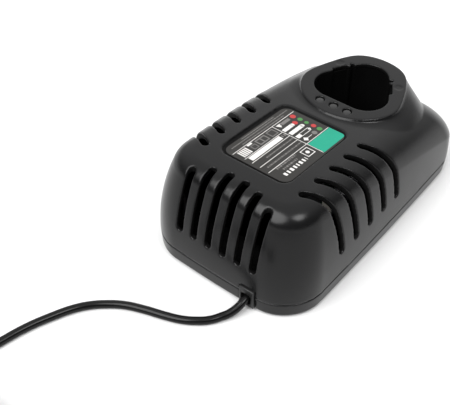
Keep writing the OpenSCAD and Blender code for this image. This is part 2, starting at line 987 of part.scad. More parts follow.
module cord_gland() {
    color([0.1, 0.1, 0.1])
        difference() {
            union() {
                translate([cord_x - gland_width / 2, gland_front, base_z + 1])
                    cube([gland_width, gland_back - gland_front, gland_top - base_z - 1]);
                translate([cord_x - 6.4, gland_back, floor_z])
                    cube([12.8, 2, gland_top + 1.6 - floor_z]);
                translate([cord_x, flange_back, cord_z])
                    rotate([-90, 0, 0])
                        cylinder(r1 = 3.8, r2 = 3, h = sleeve_length);
            }
            translate([cord_x, web_front, cord_z])
                rotate([90, 0, 0])
                    linear_extrude(6)
                        polygon(rounded_rect(6, 6.6, 1.2));
            translate([cord_x, web_back, cord_z])
                rotate([-90, 0, 0])
                    cylinder(r = cord_diameter / 2 + gap, h = sleeve_length + 10);
        }
}

module inner_jacket() {
    color([0.08, 0.08, 0.08])
        translate([cord_x, web_back, cord_z])
            rotate([-90, 0, 0])
                cylinder(d = cord_diameter, h = jacket_end - web_back);
}

module at_clamp_screws() {
    for (x = [cord_x - clamp_screw_reach, cord_x + clamp_screw_reach])
        translate([x, clamp_y, 0])
            children();
}

module cord_clamp() {
    color([0.2, 0.2, 0.2])
        difference() {
            translate([cord_x, clamp_y, clamp_z])
                standing_box([2 * (clamp_screw_reach + clamp_post), clamp_depth, clamp_thickness]);
            at_clamp_screws()
                cylinder(r = small_hole, h = 20);
        }
}

module clamp_screws() {
    color(steel)
        at_clamp_screws() {
            translate([0, 0, clamp_z + clamp_thickness])
                cylinder(r = small_head, h = head_height);
            translate([0, 0, clamp_z - clamp_screw_grip])
                cylinder(r = small_screw, h = clamp_screw_grip + clamp_thickness + eps);
        }
}

module housing_screws() {
    color(steel)
        at_posts() {
            translate([0, 0, screw_seat - housing_head_height])
                cylinder(r = housing_head, h = housing_head_height);
            translate([0, 0, screw_seat - 1])
                cylinder(r = pilot_radius - gap, h = housing_screw_length);
        }
}

wire_radius = 0.8;

module mains_wires() {
    header_face = board_front + mains_header_y - mains_header_size[1] / 2;
    color([0.4, 0.25, 0.15])
        for (x = [cord_x - 1.1, cord_x + 1.1])
            tube(smooth_path([[x, jacket_end, cord_z], [x, jacket_end + 1.5, cord_z + 0.4],
                              [x, jacket_end + 2.6, cord_z + 3], [x, jacket_end + 2.8, cord_z + 6],
                              [x, jacket_end + 3.6, cord_z + 8], [x, header_face, cord_z + 8.4]], 2),
                 wire_radius, [1, 0, 0], 8);
}

module contact_wires() {
    x = output_header_x - 1.5;
    back = board_back - output_header_y + output_header_size[1] / 2;
    under = floor_z + 1.2;
    color([0.7, 0.1, 0.1])
        for (s = [0, 1])
            let (a = 3 * s, b = 2.6 * s)
                tube(smooth_path([[x + a, back, board_top + 4],
                                  [x + a, back + 2, board_top + 4],
                                  [x + a, back + 5.5, board_top + 2.5],
                                  [x + a, back + 7, board_top - 1],
                                  [x - 0.5 + a, back + 7.6, under + 2.5],
                                  [x - 2.5 + b, back + 10, under + 0.4],
                                  [10.5 + b, back + 14, under],
                                  [5 + b, socket_y - 9, under],
                                  [2 + b, socket_y - 3, under],
                                  [2 + b, socket_y - 0.8, under + 0.3],
                                  [2 + b, socket_y, seat_z - 1.5]], 2),
                     wire_radius, [1, 0.2, 0], 8);
}

// Mains cord: its way over the floor, from the gland to the coil
cord_r = cord_diameter / 2;
cord_points = [[cord_x, web_front, cord_z], [cord_x, front_y - 2, cord_z - 0.6],
               [20.6, -87, 4.9], [19.3, -91.5, 3.4], [17, -95.5, 2.5],
               [13.8, -100.3, cord_r], [9, -104.6, cord_r], [3, -108.3, cord_r],
               [-4, -111, cord_r], [-16, -115, cord_r], [-25, -119, cord_r], [-32, -124, cord_r],
               [-37.5, -129.3, cord_r], [-42, -135.5, cord_r], [-47, -146, cord_r], [-51.4, -158, cord_r],
               [-54.4, -171, cord_r], [-56.8, -184, cord_r], [-58.2, -197, cord_r], [-58.4, -213, cord_r],
               [-58.2, -229, cord_r]];
// Rest of the cord as a coil on the floor
coil_centre = [-31, -229];
coil_radius = 23;
coil_wide = 3;
coil_high = 4;
coil_height = coil_high * cord_diameter;

module mains_cord() {
    color(soft_black)
        tube(not_below(smooth_path(cord_points, 2), cord_r), cord_r, [0, 0, 1], 12);
}

module cord_coil() {
    color(soft_black)
        translate([coil_centre[0], coil_centre[1], 0])
            rotate_extrude($fn = 64)
                translate([coil_radius, coil_height / 2])
                    polygon(rounded_rect(coil_wide * cord_diameter, coil_height, cord_r));
}

// The plug lies beside the coil, along the way in which the cord leaves it
plug_angle = 39;
plug_height = 14;
plug_width = 36;
plug_length = 34;
plug_pitch = 18.6;
tail_length = 18;
relief_length = 24;
// Direction of the tie around the turns
tie_angle = 245;

module along_plug(distance, z) {
    translate([coil_centre[0], coil_centre[1], 0])
        rotate(plug_angle)
            translate([distance, -coil_radius - cord_diameter, z])
                children();
}

// The tail starts inside the top turn of the coil and ends in the plug's strain relief
relief_start = tail_length + 8;
coil_top_z = coil_height - cord_r;
plug_z = plug_height / 2;

module cord_tail() {
    color(soft_black)
        along_plug(0, 0)
            tube(smooth_path([[-6, 0, coil_top_z], [0, 0, coil_top_z - 0.2], [6, 0, coil_top_z - 1.8],
                              [13, 0, plug_z + 2.4], [tail_length + 1, 0, plug_z + 0.4],
                              [relief_start, 0, plug_z]], 2),
                 cord_r, [0, 0, 1], 12);
}

module cord_tie() {
    strap = 1;
    color([0.1, 0.1, 0.1])
        translate([coil_centre[0], coil_centre[1], 0])
            rotate(tie_angle)
                difference() {
                    translate([coil_radius - coil_wide * cord_r - strap, -5, 0])
                        cube([coil_wide * cord_diameter + 2 * strap, 10, coil_height + strap]);
                    translate([coil_radius - coil_wide * cord_r, -6, strap])
                        cube([coil_wide * cord_diameter, 12, coil_height - strap]);
                }
}

module plug_body() {
    color(soft_black)
        along_plug(relief_start, plug_z) {
            rotate([0, 90, 0])
                cylinder(r1 = 3, r2 = 4.6, h = relief_length);
            translate([relief_length, 0, 0])
                rotate([90, 0, 90])
                    linear_extrude(plug_length)
                        polygon(rounded_rect(plug_width, plug_height, 5));
        }
}

module plug_pins() {
    color([0.8, 0.78, 0.7])
        along_plug(relief_start + relief_length + plug_length, plug_z)
            for (y = [-plug_pitch / 2, plug_pitch / 2])
                translate([0, y, 0])
                    rotate([0, 90, 0])
                        cylinder(r = 2, h = 19);
}

top_housing();
base_housing();
battery_well();
terminal_block();
contact_blades();
terminal_screws();
label_plate();
light_pipes();
indicator_leds();
circuit_board();
transformer_core();
transformer_winding();
bulk_capacitor();
output_capacitors();
line_filter();
x_capacitor();
fuse();
varistor();
bridge_rectifier();
heatsink();
power_transistors();
controller_chip();
mains_header();
output_header();
mains_wires();
contact_wires();
cord_gland();
inner_jacket();
cord_clamp();
clamp_screws();
housing_screws();
board_screws();
rubber_feet();
mains_cord();
cord_coil();
cord_tail();
cord_tie();
plug_body();
plug_pins();
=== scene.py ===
# %% [markdown]
# # A charger for stick battery packs
#
# This lesson dresses a packed construction model as a finished product. The construction already holds every piece
# at its real size: a slotted housing with a raised battery socket, the circuit inside it, and the mains cord.
# Blender adds what a construction model lacks, which is the finish of each surface, soft moulded edges, the cord at
# its full length, and light to see it by.

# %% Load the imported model
import json
import math

import bmesh
import bpy
from mathutils import Matrix, Vector
from mathutils.bvhtree import BVHTree

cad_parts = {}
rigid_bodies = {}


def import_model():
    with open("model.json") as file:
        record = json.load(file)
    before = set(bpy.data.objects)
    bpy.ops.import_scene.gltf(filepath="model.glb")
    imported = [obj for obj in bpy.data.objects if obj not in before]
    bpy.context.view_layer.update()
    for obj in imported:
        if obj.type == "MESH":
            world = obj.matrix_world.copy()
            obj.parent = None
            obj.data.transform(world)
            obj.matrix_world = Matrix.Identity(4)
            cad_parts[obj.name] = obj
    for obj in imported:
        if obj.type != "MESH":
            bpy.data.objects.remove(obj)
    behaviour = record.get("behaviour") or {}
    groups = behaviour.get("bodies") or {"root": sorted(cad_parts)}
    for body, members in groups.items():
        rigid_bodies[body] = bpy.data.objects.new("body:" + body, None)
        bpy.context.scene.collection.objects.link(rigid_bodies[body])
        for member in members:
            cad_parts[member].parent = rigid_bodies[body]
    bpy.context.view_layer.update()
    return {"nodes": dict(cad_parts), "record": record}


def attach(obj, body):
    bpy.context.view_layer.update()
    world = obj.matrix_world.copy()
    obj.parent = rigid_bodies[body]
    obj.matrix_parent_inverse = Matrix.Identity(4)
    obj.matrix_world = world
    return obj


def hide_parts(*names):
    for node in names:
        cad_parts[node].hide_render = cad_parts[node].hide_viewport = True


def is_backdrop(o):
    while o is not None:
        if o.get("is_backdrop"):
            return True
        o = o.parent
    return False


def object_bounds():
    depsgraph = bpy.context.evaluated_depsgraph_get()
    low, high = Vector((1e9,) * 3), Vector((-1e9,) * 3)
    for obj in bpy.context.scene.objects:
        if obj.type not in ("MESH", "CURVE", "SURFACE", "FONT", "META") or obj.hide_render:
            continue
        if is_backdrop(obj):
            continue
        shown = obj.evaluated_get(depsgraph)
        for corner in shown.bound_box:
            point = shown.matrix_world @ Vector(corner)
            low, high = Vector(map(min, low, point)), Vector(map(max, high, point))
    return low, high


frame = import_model()
nodes = frame["nodes"]
MM = 0.001
print("pieces in the packed model:", len(nodes))

# %% [markdown]
# ## The camera
#
# The camera looks down on the cord end and the right side from a little over half a metre away. Its place, turn
# and focal length were worked out from the long parallel edges of the housing, so that near and far ends shrink
# as they do on the real thing. A camera without shift keeps every other view of the model honest too.

# %% Put things in the scene
def add_object(name, data):
    """A new object of the scene with this data."""
    item = bpy.data.objects.new(name, data)
    bpy.context.scene.collection.objects.link(item)
    return item


# %% Place the camera
CAMERA_PLACE = (0.1713, -0.2828, 0.31352)
CAMERA_TILT = math.radians(46.011)
CAMERA_TURN = math.radians(39.064)
CAMERA_LENS = 65.32

camera_data = bpy.data.cameras.new("camera")
camera_data.lens = CAMERA_LENS
camera_data.sensor_width = 36
camera_data.clip_start = 0.01
camera = add_object("camera", camera_data)
camera.location = CAMERA_PLACE
camera.rotation_euler = (CAMERA_TILT, 0, CAMERA_TURN)
bpy.context.scene.camera = camera
print("camera height above the floor in mm:", round(camera.location.z / MM))

# %% [markdown]
# ## Helpers for finishes
#
# Every finish is a small node tree that reads Object coordinates, so a pattern stays on its piece from any side.
# One helper makes the material and sets the plain values on the shader itself. Others add what moulded plastic,
# metal and rubber really have: a fine grain that breaks up the gloss, and soft patches of slightly other tone.

# %% Start a finish
def start_finish(name, colour, roughness, metallic=0.0):
    """A new material with its shader; colour is a linear (r, g, b)."""
    material = bpy.data.materials.new(name)
    material.use_nodes = True
    shader = material.node_tree.nodes["Principled BSDF"]
    shader.inputs["Base Color"].default_value = (*colour, 1)
    shader.inputs["Roughness"].default_value = roughness
    shader.inputs["Metallic"].default_value = metallic
    return material, shader


def add_node(material, kind):
    """A new node of this kind in the material's tree."""
    return material.node_tree.nodes.new(kind)


def join(material, source, target):
    """A link from one socket to another."""
    material.node_tree.links.new(source, target)


# %% [markdown]
# Noise serves twice. As fine bumps it scatters the reflections, and as wide patches in a narrow range of tones it
# keeps the colour from looking printed. The sizes are real ones: spark-eroded moulds leave a grain of a few tenths
# of a millimetre.

# %% Grain and tone
def add_grain(material, shader, size, depth):
    """Bumps of about this size in metres, this deep in metres."""
    noise = add_node(material, "ShaderNodeTexNoise")
    noise.inputs["Scale"].default_value = 1 / size
    noise.inputs["Detail"].default_value = 3
    bump = add_node(material, "ShaderNodeBump")
    bump.inputs["Distance"].default_value = depth
    bump.inputs["Strength"].default_value = 1
    place = add_node(material, "ShaderNodeTexCoord")
    join(material, place.outputs["Object"], noise.inputs["Vector"])
    join(material, noise.outputs["Fac"], bump.inputs["Height"])
    join(material, bump.outputs["Normal"], shader.inputs["Normal"])


def add_tone(material, shader, low, high, size, socket="Base Color"):
    """Soft patches between two colours, or between two values on another socket."""
    noise = add_node(material, "ShaderNodeTexNoise")
    noise.inputs["Scale"].default_value = 1 / size
    noise.inputs["Detail"].default_value = 4
    ramp = add_node(material, "ShaderNodeValToRGB")
    ramp.color_ramp.elements[0].position = 0.35
    ramp.color_ramp.elements[1].position = 0.65
    for stop, value in zip(ramp.color_ramp.elements, (low, high)):
        stop.color = (*value, 1) if isinstance(value, tuple) else (value, value, value, 1)
    place = add_node(material, "ShaderNodeTexCoord")
    join(material, place.outputs["Object"], noise.inputs["Vector"])
    join(material, noise.outputs["Fac"], ramp.inputs["Fac"])
    join(material, ramp.outputs["Color"], shader.inputs[socket])


def scaled(colour, share):
    """The same colour, lighter or darker."""
    return tuple(part * share for part in colour)


# %% [markdown]
# ## Plastics, rubbers and metals
#
# Most pieces differ only in colour, gloss and grain, so one recipe with named values covers them. The housing has
# a fine satin grain. The cord jacket is smoother and glossier, because soft PVC is drawn through a polished die. The
# moulding's inner faces get a darker, duller black as painted shade, and the inks are as flat as print on film.

# %% The common recipe
FINE_GRAIN, GRAIN_DEPTH = 0.3 * MM, 0.006 * MM
TONE_PATCH, GLOSS_PATCH = 30 * MM, 12 * MM
SPREAD = 0.08


def moulded(name, colour, roughness, grain=FINE_GRAIN, metallic=0.0, shine=0.5):
    """A moulded or drawn material with a fine grain and slight patches of tone and gloss."""
    material, shader = start_finish(name, colour, roughness, metallic)
    shader.inputs["Specular IOR Level"].default_value = shine
    less, more = 1 - SPREAD, 1 + SPREAD
    add_grain(material, shader, grain, GRAIN_DEPTH)
    add_tone(material, shader, scaled(colour, less), scaled(colour, more), TONE_PATCH)
    add_tone(material, shader, roughness * less, min(1, roughness * more), GLOSS_PATCH, socket="Roughness")
    return material


finishes = {
    "housing": moulded("housing_plastic", (0.0045, 0.0045, 0.0047), 0.24, shine=0.22),
    # Painted shade: a near-black, matt finish, darker than the housing, so that the socket's inside and the space
    # behind the slots read black.
    "well": moulded("well_painted_shade", (0.001, 0.001, 0.001), 0.85, shine=0.06),
    "black_moulding": moulded("black_moulding", (0.02, 0.02, 0.02), 0.5),
    "gland": moulded("gland_rubber", (0.005, 0.005, 0.005), 0.4, shine=0.36),
    "cord_jacket": moulded("cord_jacket", (0.003, 0.003, 0.003), 0.22, grain=0.6 * MM, shine=0.2),
    "feet": moulded("foot_rubber", (0.02, 0.02, 0.02), 0.85),
    "tie": moulded("tie_plastic", (0.008, 0.008, 0.008), 0.45, shine=0.36),
    "plug": moulded("plug_plastic", (0.005, 0.005, 0.005), 0.3, shine=0.36),
    "label": moulded("label_film", (0.012, 0.011, 0.0095), 0.4, shine=0.32),
    "light_pipe": moulded("light_pipe", (0.01, 0.01, 0.01), 0.25),
    "led_body": moulded("led_body", (0.5, 0.6, 0.5), 0.2),
    "board": moulded("board_resist", (0.004, 0.018, 0.008), 0.5),
    "ferrite": moulded("ferrite", (0.06, 0.06, 0.065), 0.6),
    "winding_tape": moulded("winding_tape", (0.12, 0.08, 0.012), 0.4),
    "capacitor_sleeve": moulded("capacitor_sleeve", (0.015, 0.02, 0.06), 0.3),
    "film_box": moulded("film_box", (0.1, 0.07, 0.01), 0.4),
    "fuse_body": moulded("fuse_body", (0.05, 0.03, 0.02), 0.4),
    "varistor_coat": moulded("varistor_coat", (0.006, 0.012, 0.045), 0.5),
    "chip_body": moulded("chip_body", (0.02, 0.02, 0.02), 0.55),
    "heatsink": moulded("heatsink_metal", (0.6, 0.6, 0.62), 0.35, metallic=1.0),
    "header": moulded("header_nylon", (0.7, 0.68, 0.6), 0.45),
    "mains_wire": moulded("mains_wire", (0.12, 0.06, 0.03), 0.4),
    "contact_wire": moulded("contact_wire", (0.5, 0.02, 0.02), 0.4),
    "contact_metal": moulded("contact_metal", (0.8, 0.65, 0.35), 0.25, metallic=1.0),
    "screw_steel": moulded("screw_steel", (0.55, 0.55, 0.56), 0.3, metallic=1.0),
    "pin_metal": moulded("pin_metal", (0.7, 0.66, 0.56), 0.25, metallic=1.0),
    # Painted shade: a darker, duller black for the faces deep inside the slots and the housing, not the plastic's
    # own colour.
    "housing_painted_shade": moulded("housing_painted_shade", (0.0015, 0.0015, 0.0015), 0.7, shine=0.1),
    "ink_white": moulded("ink_white", (0.57, 0.56, 0.54), 0.5),
    "ink_grey": moulded("ink_grey", (0.115, 0.11, 0.105), 0.5),
    "ink_teal": moulded("ink_teal", (0.004, 0.24, 0.155), 0.5, shine=0.3),
    "ink_red": moulded("ink_red", (0.35, 0.03, 0.03), 0.5, shine=0.3),
    "ink_green": moulded("ink_green", (0.045, 0.17, 0.045), 0.5, shine=0.3),
}
print("finishes:", len(finishes))

# %% [markdown]
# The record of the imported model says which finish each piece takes. A loop gives every piece its own, so no piece
# is left in the plain colour of the construction.

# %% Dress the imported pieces
slot_of = {part["node"]: part["material_slot"] for part in frame["record"]["subparts"]}
for name, piece in nodes.items():
    piece.data.materials.clear()
    piece.data.materials.append(finishes[slot_of[name]])
print("dressed:", len(slot_of))

# %% [markdown]
# ## The mains cord
#
# A cord has a fixed length, so its whole way is one smooth line: straight out of the gland, down to the floor, in a
# lazy bend across it, and then into a storage coil. The points over the floor are listed one by one, while the turns
# of the coil follow a rule. Twelve places, three side by side and four on top of each other, take the turns in
# order. The cord shifts sideways in one part of a turn and climbs in another, so no two turns meet.

# %% The way over the floor
CORD_THICK = 4.2 * MM
CORD_R = CORD_THICK / 2
CORD_ROUTE = [
    (20.9, -78.9, 7), (20.8, -83, 6.4), (20.3, -86.8, 4.9), (18.8, -91, 3.4), (16.4, -95, 2.5),
    (13.2, -99.8, 2.1), (8.5, -104.2, 2.1), (2.7, -108, 2.1), (-4.1, -110.9, 2.1), (-16, -115, 2.1),
    (-25, -119, 2.1), (-32, -124, 2.1), (-37.5, -129.3, 2.1), (-42, -135.5, 2.1), (-47, -146, 2.1),
    (-51.4, -158, 2.1), (-54.4, -171, 2.1), (-56.8, -184, 2.1), (-58.2, -197, 2.1), (-58.4, -213, 2.1),
]
route = [Vector(point) * MM for point in CORD_ROUTE]
print("points over the floor:", len(route))

# %% The turns of the coil
COIL_CENTRE = Vector((-31, -229, 0)) * MM
COIL_R = 23 * MM
LANES = (COIL_R + CORD_THICK, COIL_R, COIL_R - CORD_THICK)
COIL_START = 180
COIL_END = 309
FULL_TURNS = 11
STEPS_A_TURN = 20
SHIFT_FROM, CLIMB_FROM = 0.15, 0.6


def ease(value, start, end):
    """0 before start and 1 after end, with a smooth change between them."""
    t = min(1, max(0, (value - start) / (end - start)))
    return t * t * (3 - 2 * t)


def lane_of(turn):
    """Radius and height of a turn: inwards in the first layer, outwards in the next, and so on."""
    layer, place = divmod(turn, 3)
    lane = place if layer % 2 == 0 else 2 - place
    return LANES[lane], CORD_R + layer * CORD_THICK


def coil_point(turns):
    """Point of the coil after this many turns."""
    turn = int(turns)
    share = turns - turn
    (r0, z0), (r1, z1) = lane_of(turn), lane_of(turn + 1)
    radius = r0 + (r1 - r0) * ease(share, SHIFT_FROM, CLIMB_FROM)
    height = z0 + (z1 - z0) * ease(share, CLIMB_FROM, 1.0)
    angle = math.radians(COIL_START + 360 * turns)
    return COIL_CENTRE + Vector((radius * math.cos(angle), radius * math.sin(angle), height))


total_turns = FULL_TURNS + (COIL_END - COIL_START) / 360
steps = round(total_turns * STEPS_A_TURN)
coil = [coil_point(total_turns * i / steps) for i in range(steps + 1)]
print("turns:", round(total_turns, 2), "points in the coil:", len(coil))

# %% The tail into the plug
PLUG_TURN = math.radians(COIL_END - 270)
PLUG_AXIS_Z = 7
TAIL = [(6, 12.9), (13, 9.4), (19, 7.4), (26, PLUG_AXIS_Z), (30, PLUG_AXIS_Z)]
leaving = Vector((math.cos(PLUG_TURN), math.sin(PLUG_TURN), 0))
last = Vector((coil[-1].x, coil[-1].y, 0))
tail = [last + leaving * along * MM + Vector((0, 0, up * MM)) for along, up in TAIL]

cord_line = bpy.data.curves.new("cord", "CURVE")
cord_line.dimensions = "3D"
cord_line.resolution_u = 6
cord_line.bevel_depth = CORD_R
cord_line.bevel_resolution = 5
cord_line.use_fill_caps = True
spline = cord_line.splines.new("BEZIER")
cord_points = route + coil + tail
spline.bezier_points.add(len(cord_points) - 1)
for knot, point in zip(spline.bezier_points, cord_points):
    knot.co = point
    knot.handle_left_type = knot.handle_right_type = "AUTO"
cord = add_object("mains_lead", cord_line)
cord.data.materials.append(finishes["cord_jacket"])
cord_length = spline.calc_length()
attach(cord, "root")
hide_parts("mains_cord", "cord_coil", "cord_tail")
print("cord length in m:", round(cord_length, 3))

# %% [markdown]
# ## The top housing: rings into a skin
#
# The top housing is one moulding. Its walls lean in faster the higher they go, roll over a shoulder, and run into
# a top that slopes down towards the socket. Such a form could be sculpted or pulled from a subdivided box, but a
# mould maker draws it as sections, so this lesson does the same. Rings of points follow the walls from the parting
# line to the top, and the bridge operator closes each pair of rings with a band of faces.

# %% Sizes of the housing, in millimetres
HALF_WIDTH, HALF_LENGTH = 49, 81
PEAK, PARTING = 58.8, 10
WALL = 2.5
FRONT_RADIUS, REAR_RADIUS = 22.5, 16
SHOULDER_START = math.radians(18)
SOCKET_Y = 40
RIM_Z = 54.6
LEVEL_LENGTH, EASE_LENGTH, TOP_SLOPE = 23, 28, 0.096
WALL_LEAN, LEAN_POWER, END_LEAN = 8.8, 2.2, 1.35
SIDE_BOW, END_BOW = 1, 1.5
print("housing in mm:", 2 * HALF_WIDTH, "x", 2 * HALF_LENGTH, "x", PEAK)


def mm(x, y, z):
    """A point given in millimetres, in Blender's metres."""
    return Vector((x, y, z)) * MM


# %% Heights and radii along the length
def top_height(y):
    """The top is level at the cord end, eases into its slope, and falls away further at the rear."""
    run = y + HALF_LENGTH - LEVEL_LENGTH
    rear_fall = max(0, y + 10) ** 2 / 1000
    if run < 0:
        return PEAK - rear_fall
    if run < EASE_LENGTH:
        return PEAK - TOP_SLOPE * run * run / (2 * EASE_LENGTH) - rear_fall
    return PEAK - TOP_SLOPE * (run - EASE_LENGTH / 2) - rear_fall


def grown(y, start, length):
    """0 before a place along the housing, 1 a length behind it, and the share of the way in between."""
    return min(1, max(0, y - start) / length)


def shoulder_radius(y):
    """The shoulder grows rounder towards the socket, and rounder still behind it."""
    return 11.1 + 8.2 * grown(y, -65, 80) + 3.5 * grown(y, 10, 50)


def shoulder_height(y):
    """Height at which the wall gives way to the shoulder."""
    return top_height(y) - shoulder_radius(y) * (1 - math.sin(SHOULDER_START))


def wall_lean(z):
    """How far the wall has come in at a height."""
    return WALL_LEAN * max(0, (z - PARTING) / (PEAK - PARTING)) ** LEAN_POWER


print("top and shoulder at the socket in mm:", round(top_height(SOCKET_Y), 1), round(shoulder_radius(SOCKET_Y), 1))


# %% [markdown]
# Each ring has the same marks: front edge, front corner, long side, rear corner and back edge. Equal marks on every
# ring keep the bands straight, and a mark at the same share of a stretch lies on the same line up the wall.

# %% Marks along half of the plan outline
EDGE_STEPS, CORNER_STEPS, SIDE_STEPS = 6, 24, 40
marks = [("front", (i + 0.5) / EDGE_STEPS) for i in range(EDGE_STEPS)]
marks += [("front_corner", math.pi / 2 * i / CORNER_STEPS) for i in range(CORNER_STEPS + 1)]
marks += [("side", i / SIDE_STEPS) for i in range(1, SIDE_STEPS)]
marks += [("rear_corner", math.pi / 2 * i / CORNER_STEPS) for i in range(CORNER_STEPS + 1)]
marks += [("back", 1 - (i + 0.5) / EDGE_STEPS) for i in range(EDGE_STEPS)]


def plan_point(mark, side=0.0, end=0.0):
    """Plan place of a mark, moved in from the parting line by these amounts at the sides and ends."""
    w, l = HALF_WIDTH - side, HALF_LENGTH - end
    rf, rr = max(3, FRONT_RADIUS - 0.75 * side), max(3, REAR_RADIUS - 0.3 * side)
    stretch, place = mark
    x, y = {
        "front": (place * (w - rf), -l),
        "front_corner": (w - rf + rf * math.sin(place), rf - l - rf * math.cos(place)),
        "side": (w, rf - l + place * (2 * l - rf - rr)),
        "rear_corner": (w - rr + rr * math.cos(place), l - rr + rr * math.sin(place)),
        "back": (place * (w - rr), l),
    }[stretch]
    return x * (1 - SIDE_BOW * (y / l) ** 2 / w), y * (1 - END_BOW / l * (x / w) ** 2)


def skin_point(mark, rise, turn=SHOULDER_START, cover=0.0):
    """A point of the skin: rise is the share of the wall, turn the angle on the shoulder, cover the depth below."""
    y0 = plan_point(mark)[1]
    lean = wall_lean(PARTING + rise * (shoulder_height(y0) - cover - PARTING))
    roll = shoulder_radius(y0) * (math.cos(SHOULDER_START) - math.cos(turn))
    x, y = plan_point(mark, cover + lean + roll, cover + END_LEAN * lean + roll)
    z = PARTING + rise * (shoulder_height(y) - cover - PARTING)
    return mm(x, y, z + shoulder_radius(y) * (math.sin(turn) - math.sin(SHOULDER_START)))


print("marks on half an outline:", len(marks))

# %% [markdown]
# The loft helper is the heart of this lesson. It makes each ring from a few vertices, joins them into a closed
# edge loop, and lets the bridge operator do the faces. The bottom is one face. The top is closed by strips across
# the width, because it curves along its length.

# %% Lofting
def both_sides(points):
    """The points and their mirror images, in one round."""
    return points + [Vector((-p.x, p.y, p.z)) for p in reversed(points)]


def add_loop(mesh, points):
    """A closed loop of vertices and edges."""
    corners = [mesh.verts.new(point) for point in points]
    return corners, [mesh.edges.new((corners[i - 1], corners[i])) for i in range(len(corners))]


def loft(rings):
    """A closed bmesh through rings with equal numbers of points, given from the bottom up."""
    mesh = bmesh.new()
    loops = [add_loop(mesh, ring) for ring in rings]
    for (_, below), (_, above) in zip(loops, loops[1:]):
        bmesh.ops.bridge_loops(mesh, edges=below + above)
    mesh.faces.new(loops[0][0])
    top = loops[-1][0]
    for i in range(len(top) // 2 - 1):
        mesh.faces.new((top[i], top[i + 1], top[-2 - i], top[-1 - i]))
    return mesh


def verts_of(parts):
    """The vertices among the parts that an operator gives back."""
    return [part for part in parts if isinstance(part, bmesh.types.BMVert)]


def as_object(mesh, name):
    """The bmesh as an object of the scene, its faces turned outwards; the bmesh is freed."""
    bmesh.ops.recalc_face_normals(mesh, faces=mesh.faces)
    data = bpy.data.meshes.new(name)
    mesh.to_mesh(data)
    mesh.free()
    return add_object(name, data)


def skin(name, cover, wall_steps, shoulder_steps, foot=None):
    """The shell of the housing as a closed form; foot adds a straight piece below the parting line."""
    rings = [] if foot is None else [[mm(*plan_point(m, cover, cover), foot) for m in marks]]
    rings += [[skin_point(m, i / wall_steps, cover=cover) for m in marks] for i in range(wall_steps + 1)]
    for i in range(1, shoulder_steps + 1):
        turn = SHOULDER_START + (math.pi / 2 - SHOULDER_START) * i / shoulder_steps
        rings.append([skin_point(m, 1, turn, cover) for m in marks])
    return as_object(loft([both_sides(ring) for ring in rings]), name)


housing = skin("housing_top", 0, 24, 24)
hollow = skin("hollow", WALL, 8, 8, foot=PARTING - 1)
print("faces of the skin:", len(housing.data.polygons))

# %% [markdown]
# ## The raised rim of the socket
#
# Around the socket the moulding rises to a level rim. In plan the rim is a circle with two long flats, blended by
# a high power so that the corners stay soft. Its foot flares out over the shell in a concave sweep that follows a
# superellipse: steep at the rim and almost level where it meets the shell. It reaches furthest at the two rear
# flanks, where the shell falls away below it.

# %% Plan of the rim
RIM_STEPS = 144
RIM_RADIUS, RIM_SWELL = 30.1, 0.3
FLAT_REACH, FLAT_ANGLE = 26.4, math.radians(68.4)
BLEND_POWER = 12
rim_angles = [math.pi - (i + 0.5) * 2 * math.pi / RIM_STEPS for i in range(RIM_STEPS)]


def rim_radius(angle):
    """Distance of the rim from the socket axis; the angle is measured from the +Y axis."""
    round_part = RIM_RADIUS + RIM_SWELL * math.cos(angle)
    flat_part = FLAT_REACH / max(0.05, math.cos(abs(angle) - FLAT_ANGLE))
    return (round_part ** -BLEND_POWER + flat_part ** -BLEND_POWER) ** (-1 / BLEND_POWER)


def rim_loop(out, z):
    """A level loop at a distance outside the rim."""
    return [mm((rim_radius(a) + out) * math.sin(a), SOCKET_Y + (rim_radius(a) + out) * math.cos(a), z)
            for a in rim_angles]


print("rim radius behind the socket in mm:", round(rim_radius(0), 1))

# %% The flare
RIM_ROUND = 0.8
RIM_DEPTH = 24
FLANK_ANGLE = math.radians(55)
FLARE_REACH, LESS_BEHIND, MORE_AT_FLANKS = 9, 2, 3.5
FLARE_POWER, FLANK_POWER = 0.6, 0.3


def shell_height(x, y):
    """Height of the shell below a plan place near the rim."""
    soft, r = 8, shoulder_radius(y)
    lean = wall_lean(shoulder_height(y))
    over_x = abs(x) - (HALF_WIDTH - lean - r * math.cos(SHOULDER_START)) + soft
    over_y = y - (HALF_LENGTH - END_LEAN * lean - r * math.cos(SHOULDER_START)) + soft
    over = math.hypot(max(0, over_x), max(0, over_y)) - soft
    if over <= 0:
        return top_height(y)
    if over < r * math.cos(SHOULDER_START):
        return top_height(y) - r + math.sqrt(r * r - over * over)
    return top_height(y) - r * (1 - math.sin(SHOULDER_START)) - 2.4 * (over - r * math.cos(SHOULDER_START))


def flare_loop(share):
    """A loop at this share of the flare's reach, a little below the shell at its foot."""
    loop = []
    for a in rim_angles:
        flank = max(0, math.cos(abs(a) - FLANK_ANGLE))
        reach = FLARE_REACH - LESS_BEHIND * max(0, math.cos(a)) ** 2 + MORE_AT_FLANKS * flank ** 4
        power = FLARE_POWER + FLANK_POWER * flank ** 2
        distance = rim_radius(a) + share * reach
        x, y = distance * math.sin(a), SOCKET_Y + distance * math.cos(a)
        foot = shell_height(x, y) - 0.3
        rise = (1 - share ** power) ** (1 / power)
        loop.append(mm(x, y, foot + max(0, RIM_Z - RIM_ROUND - foot) * rise))
    return loop


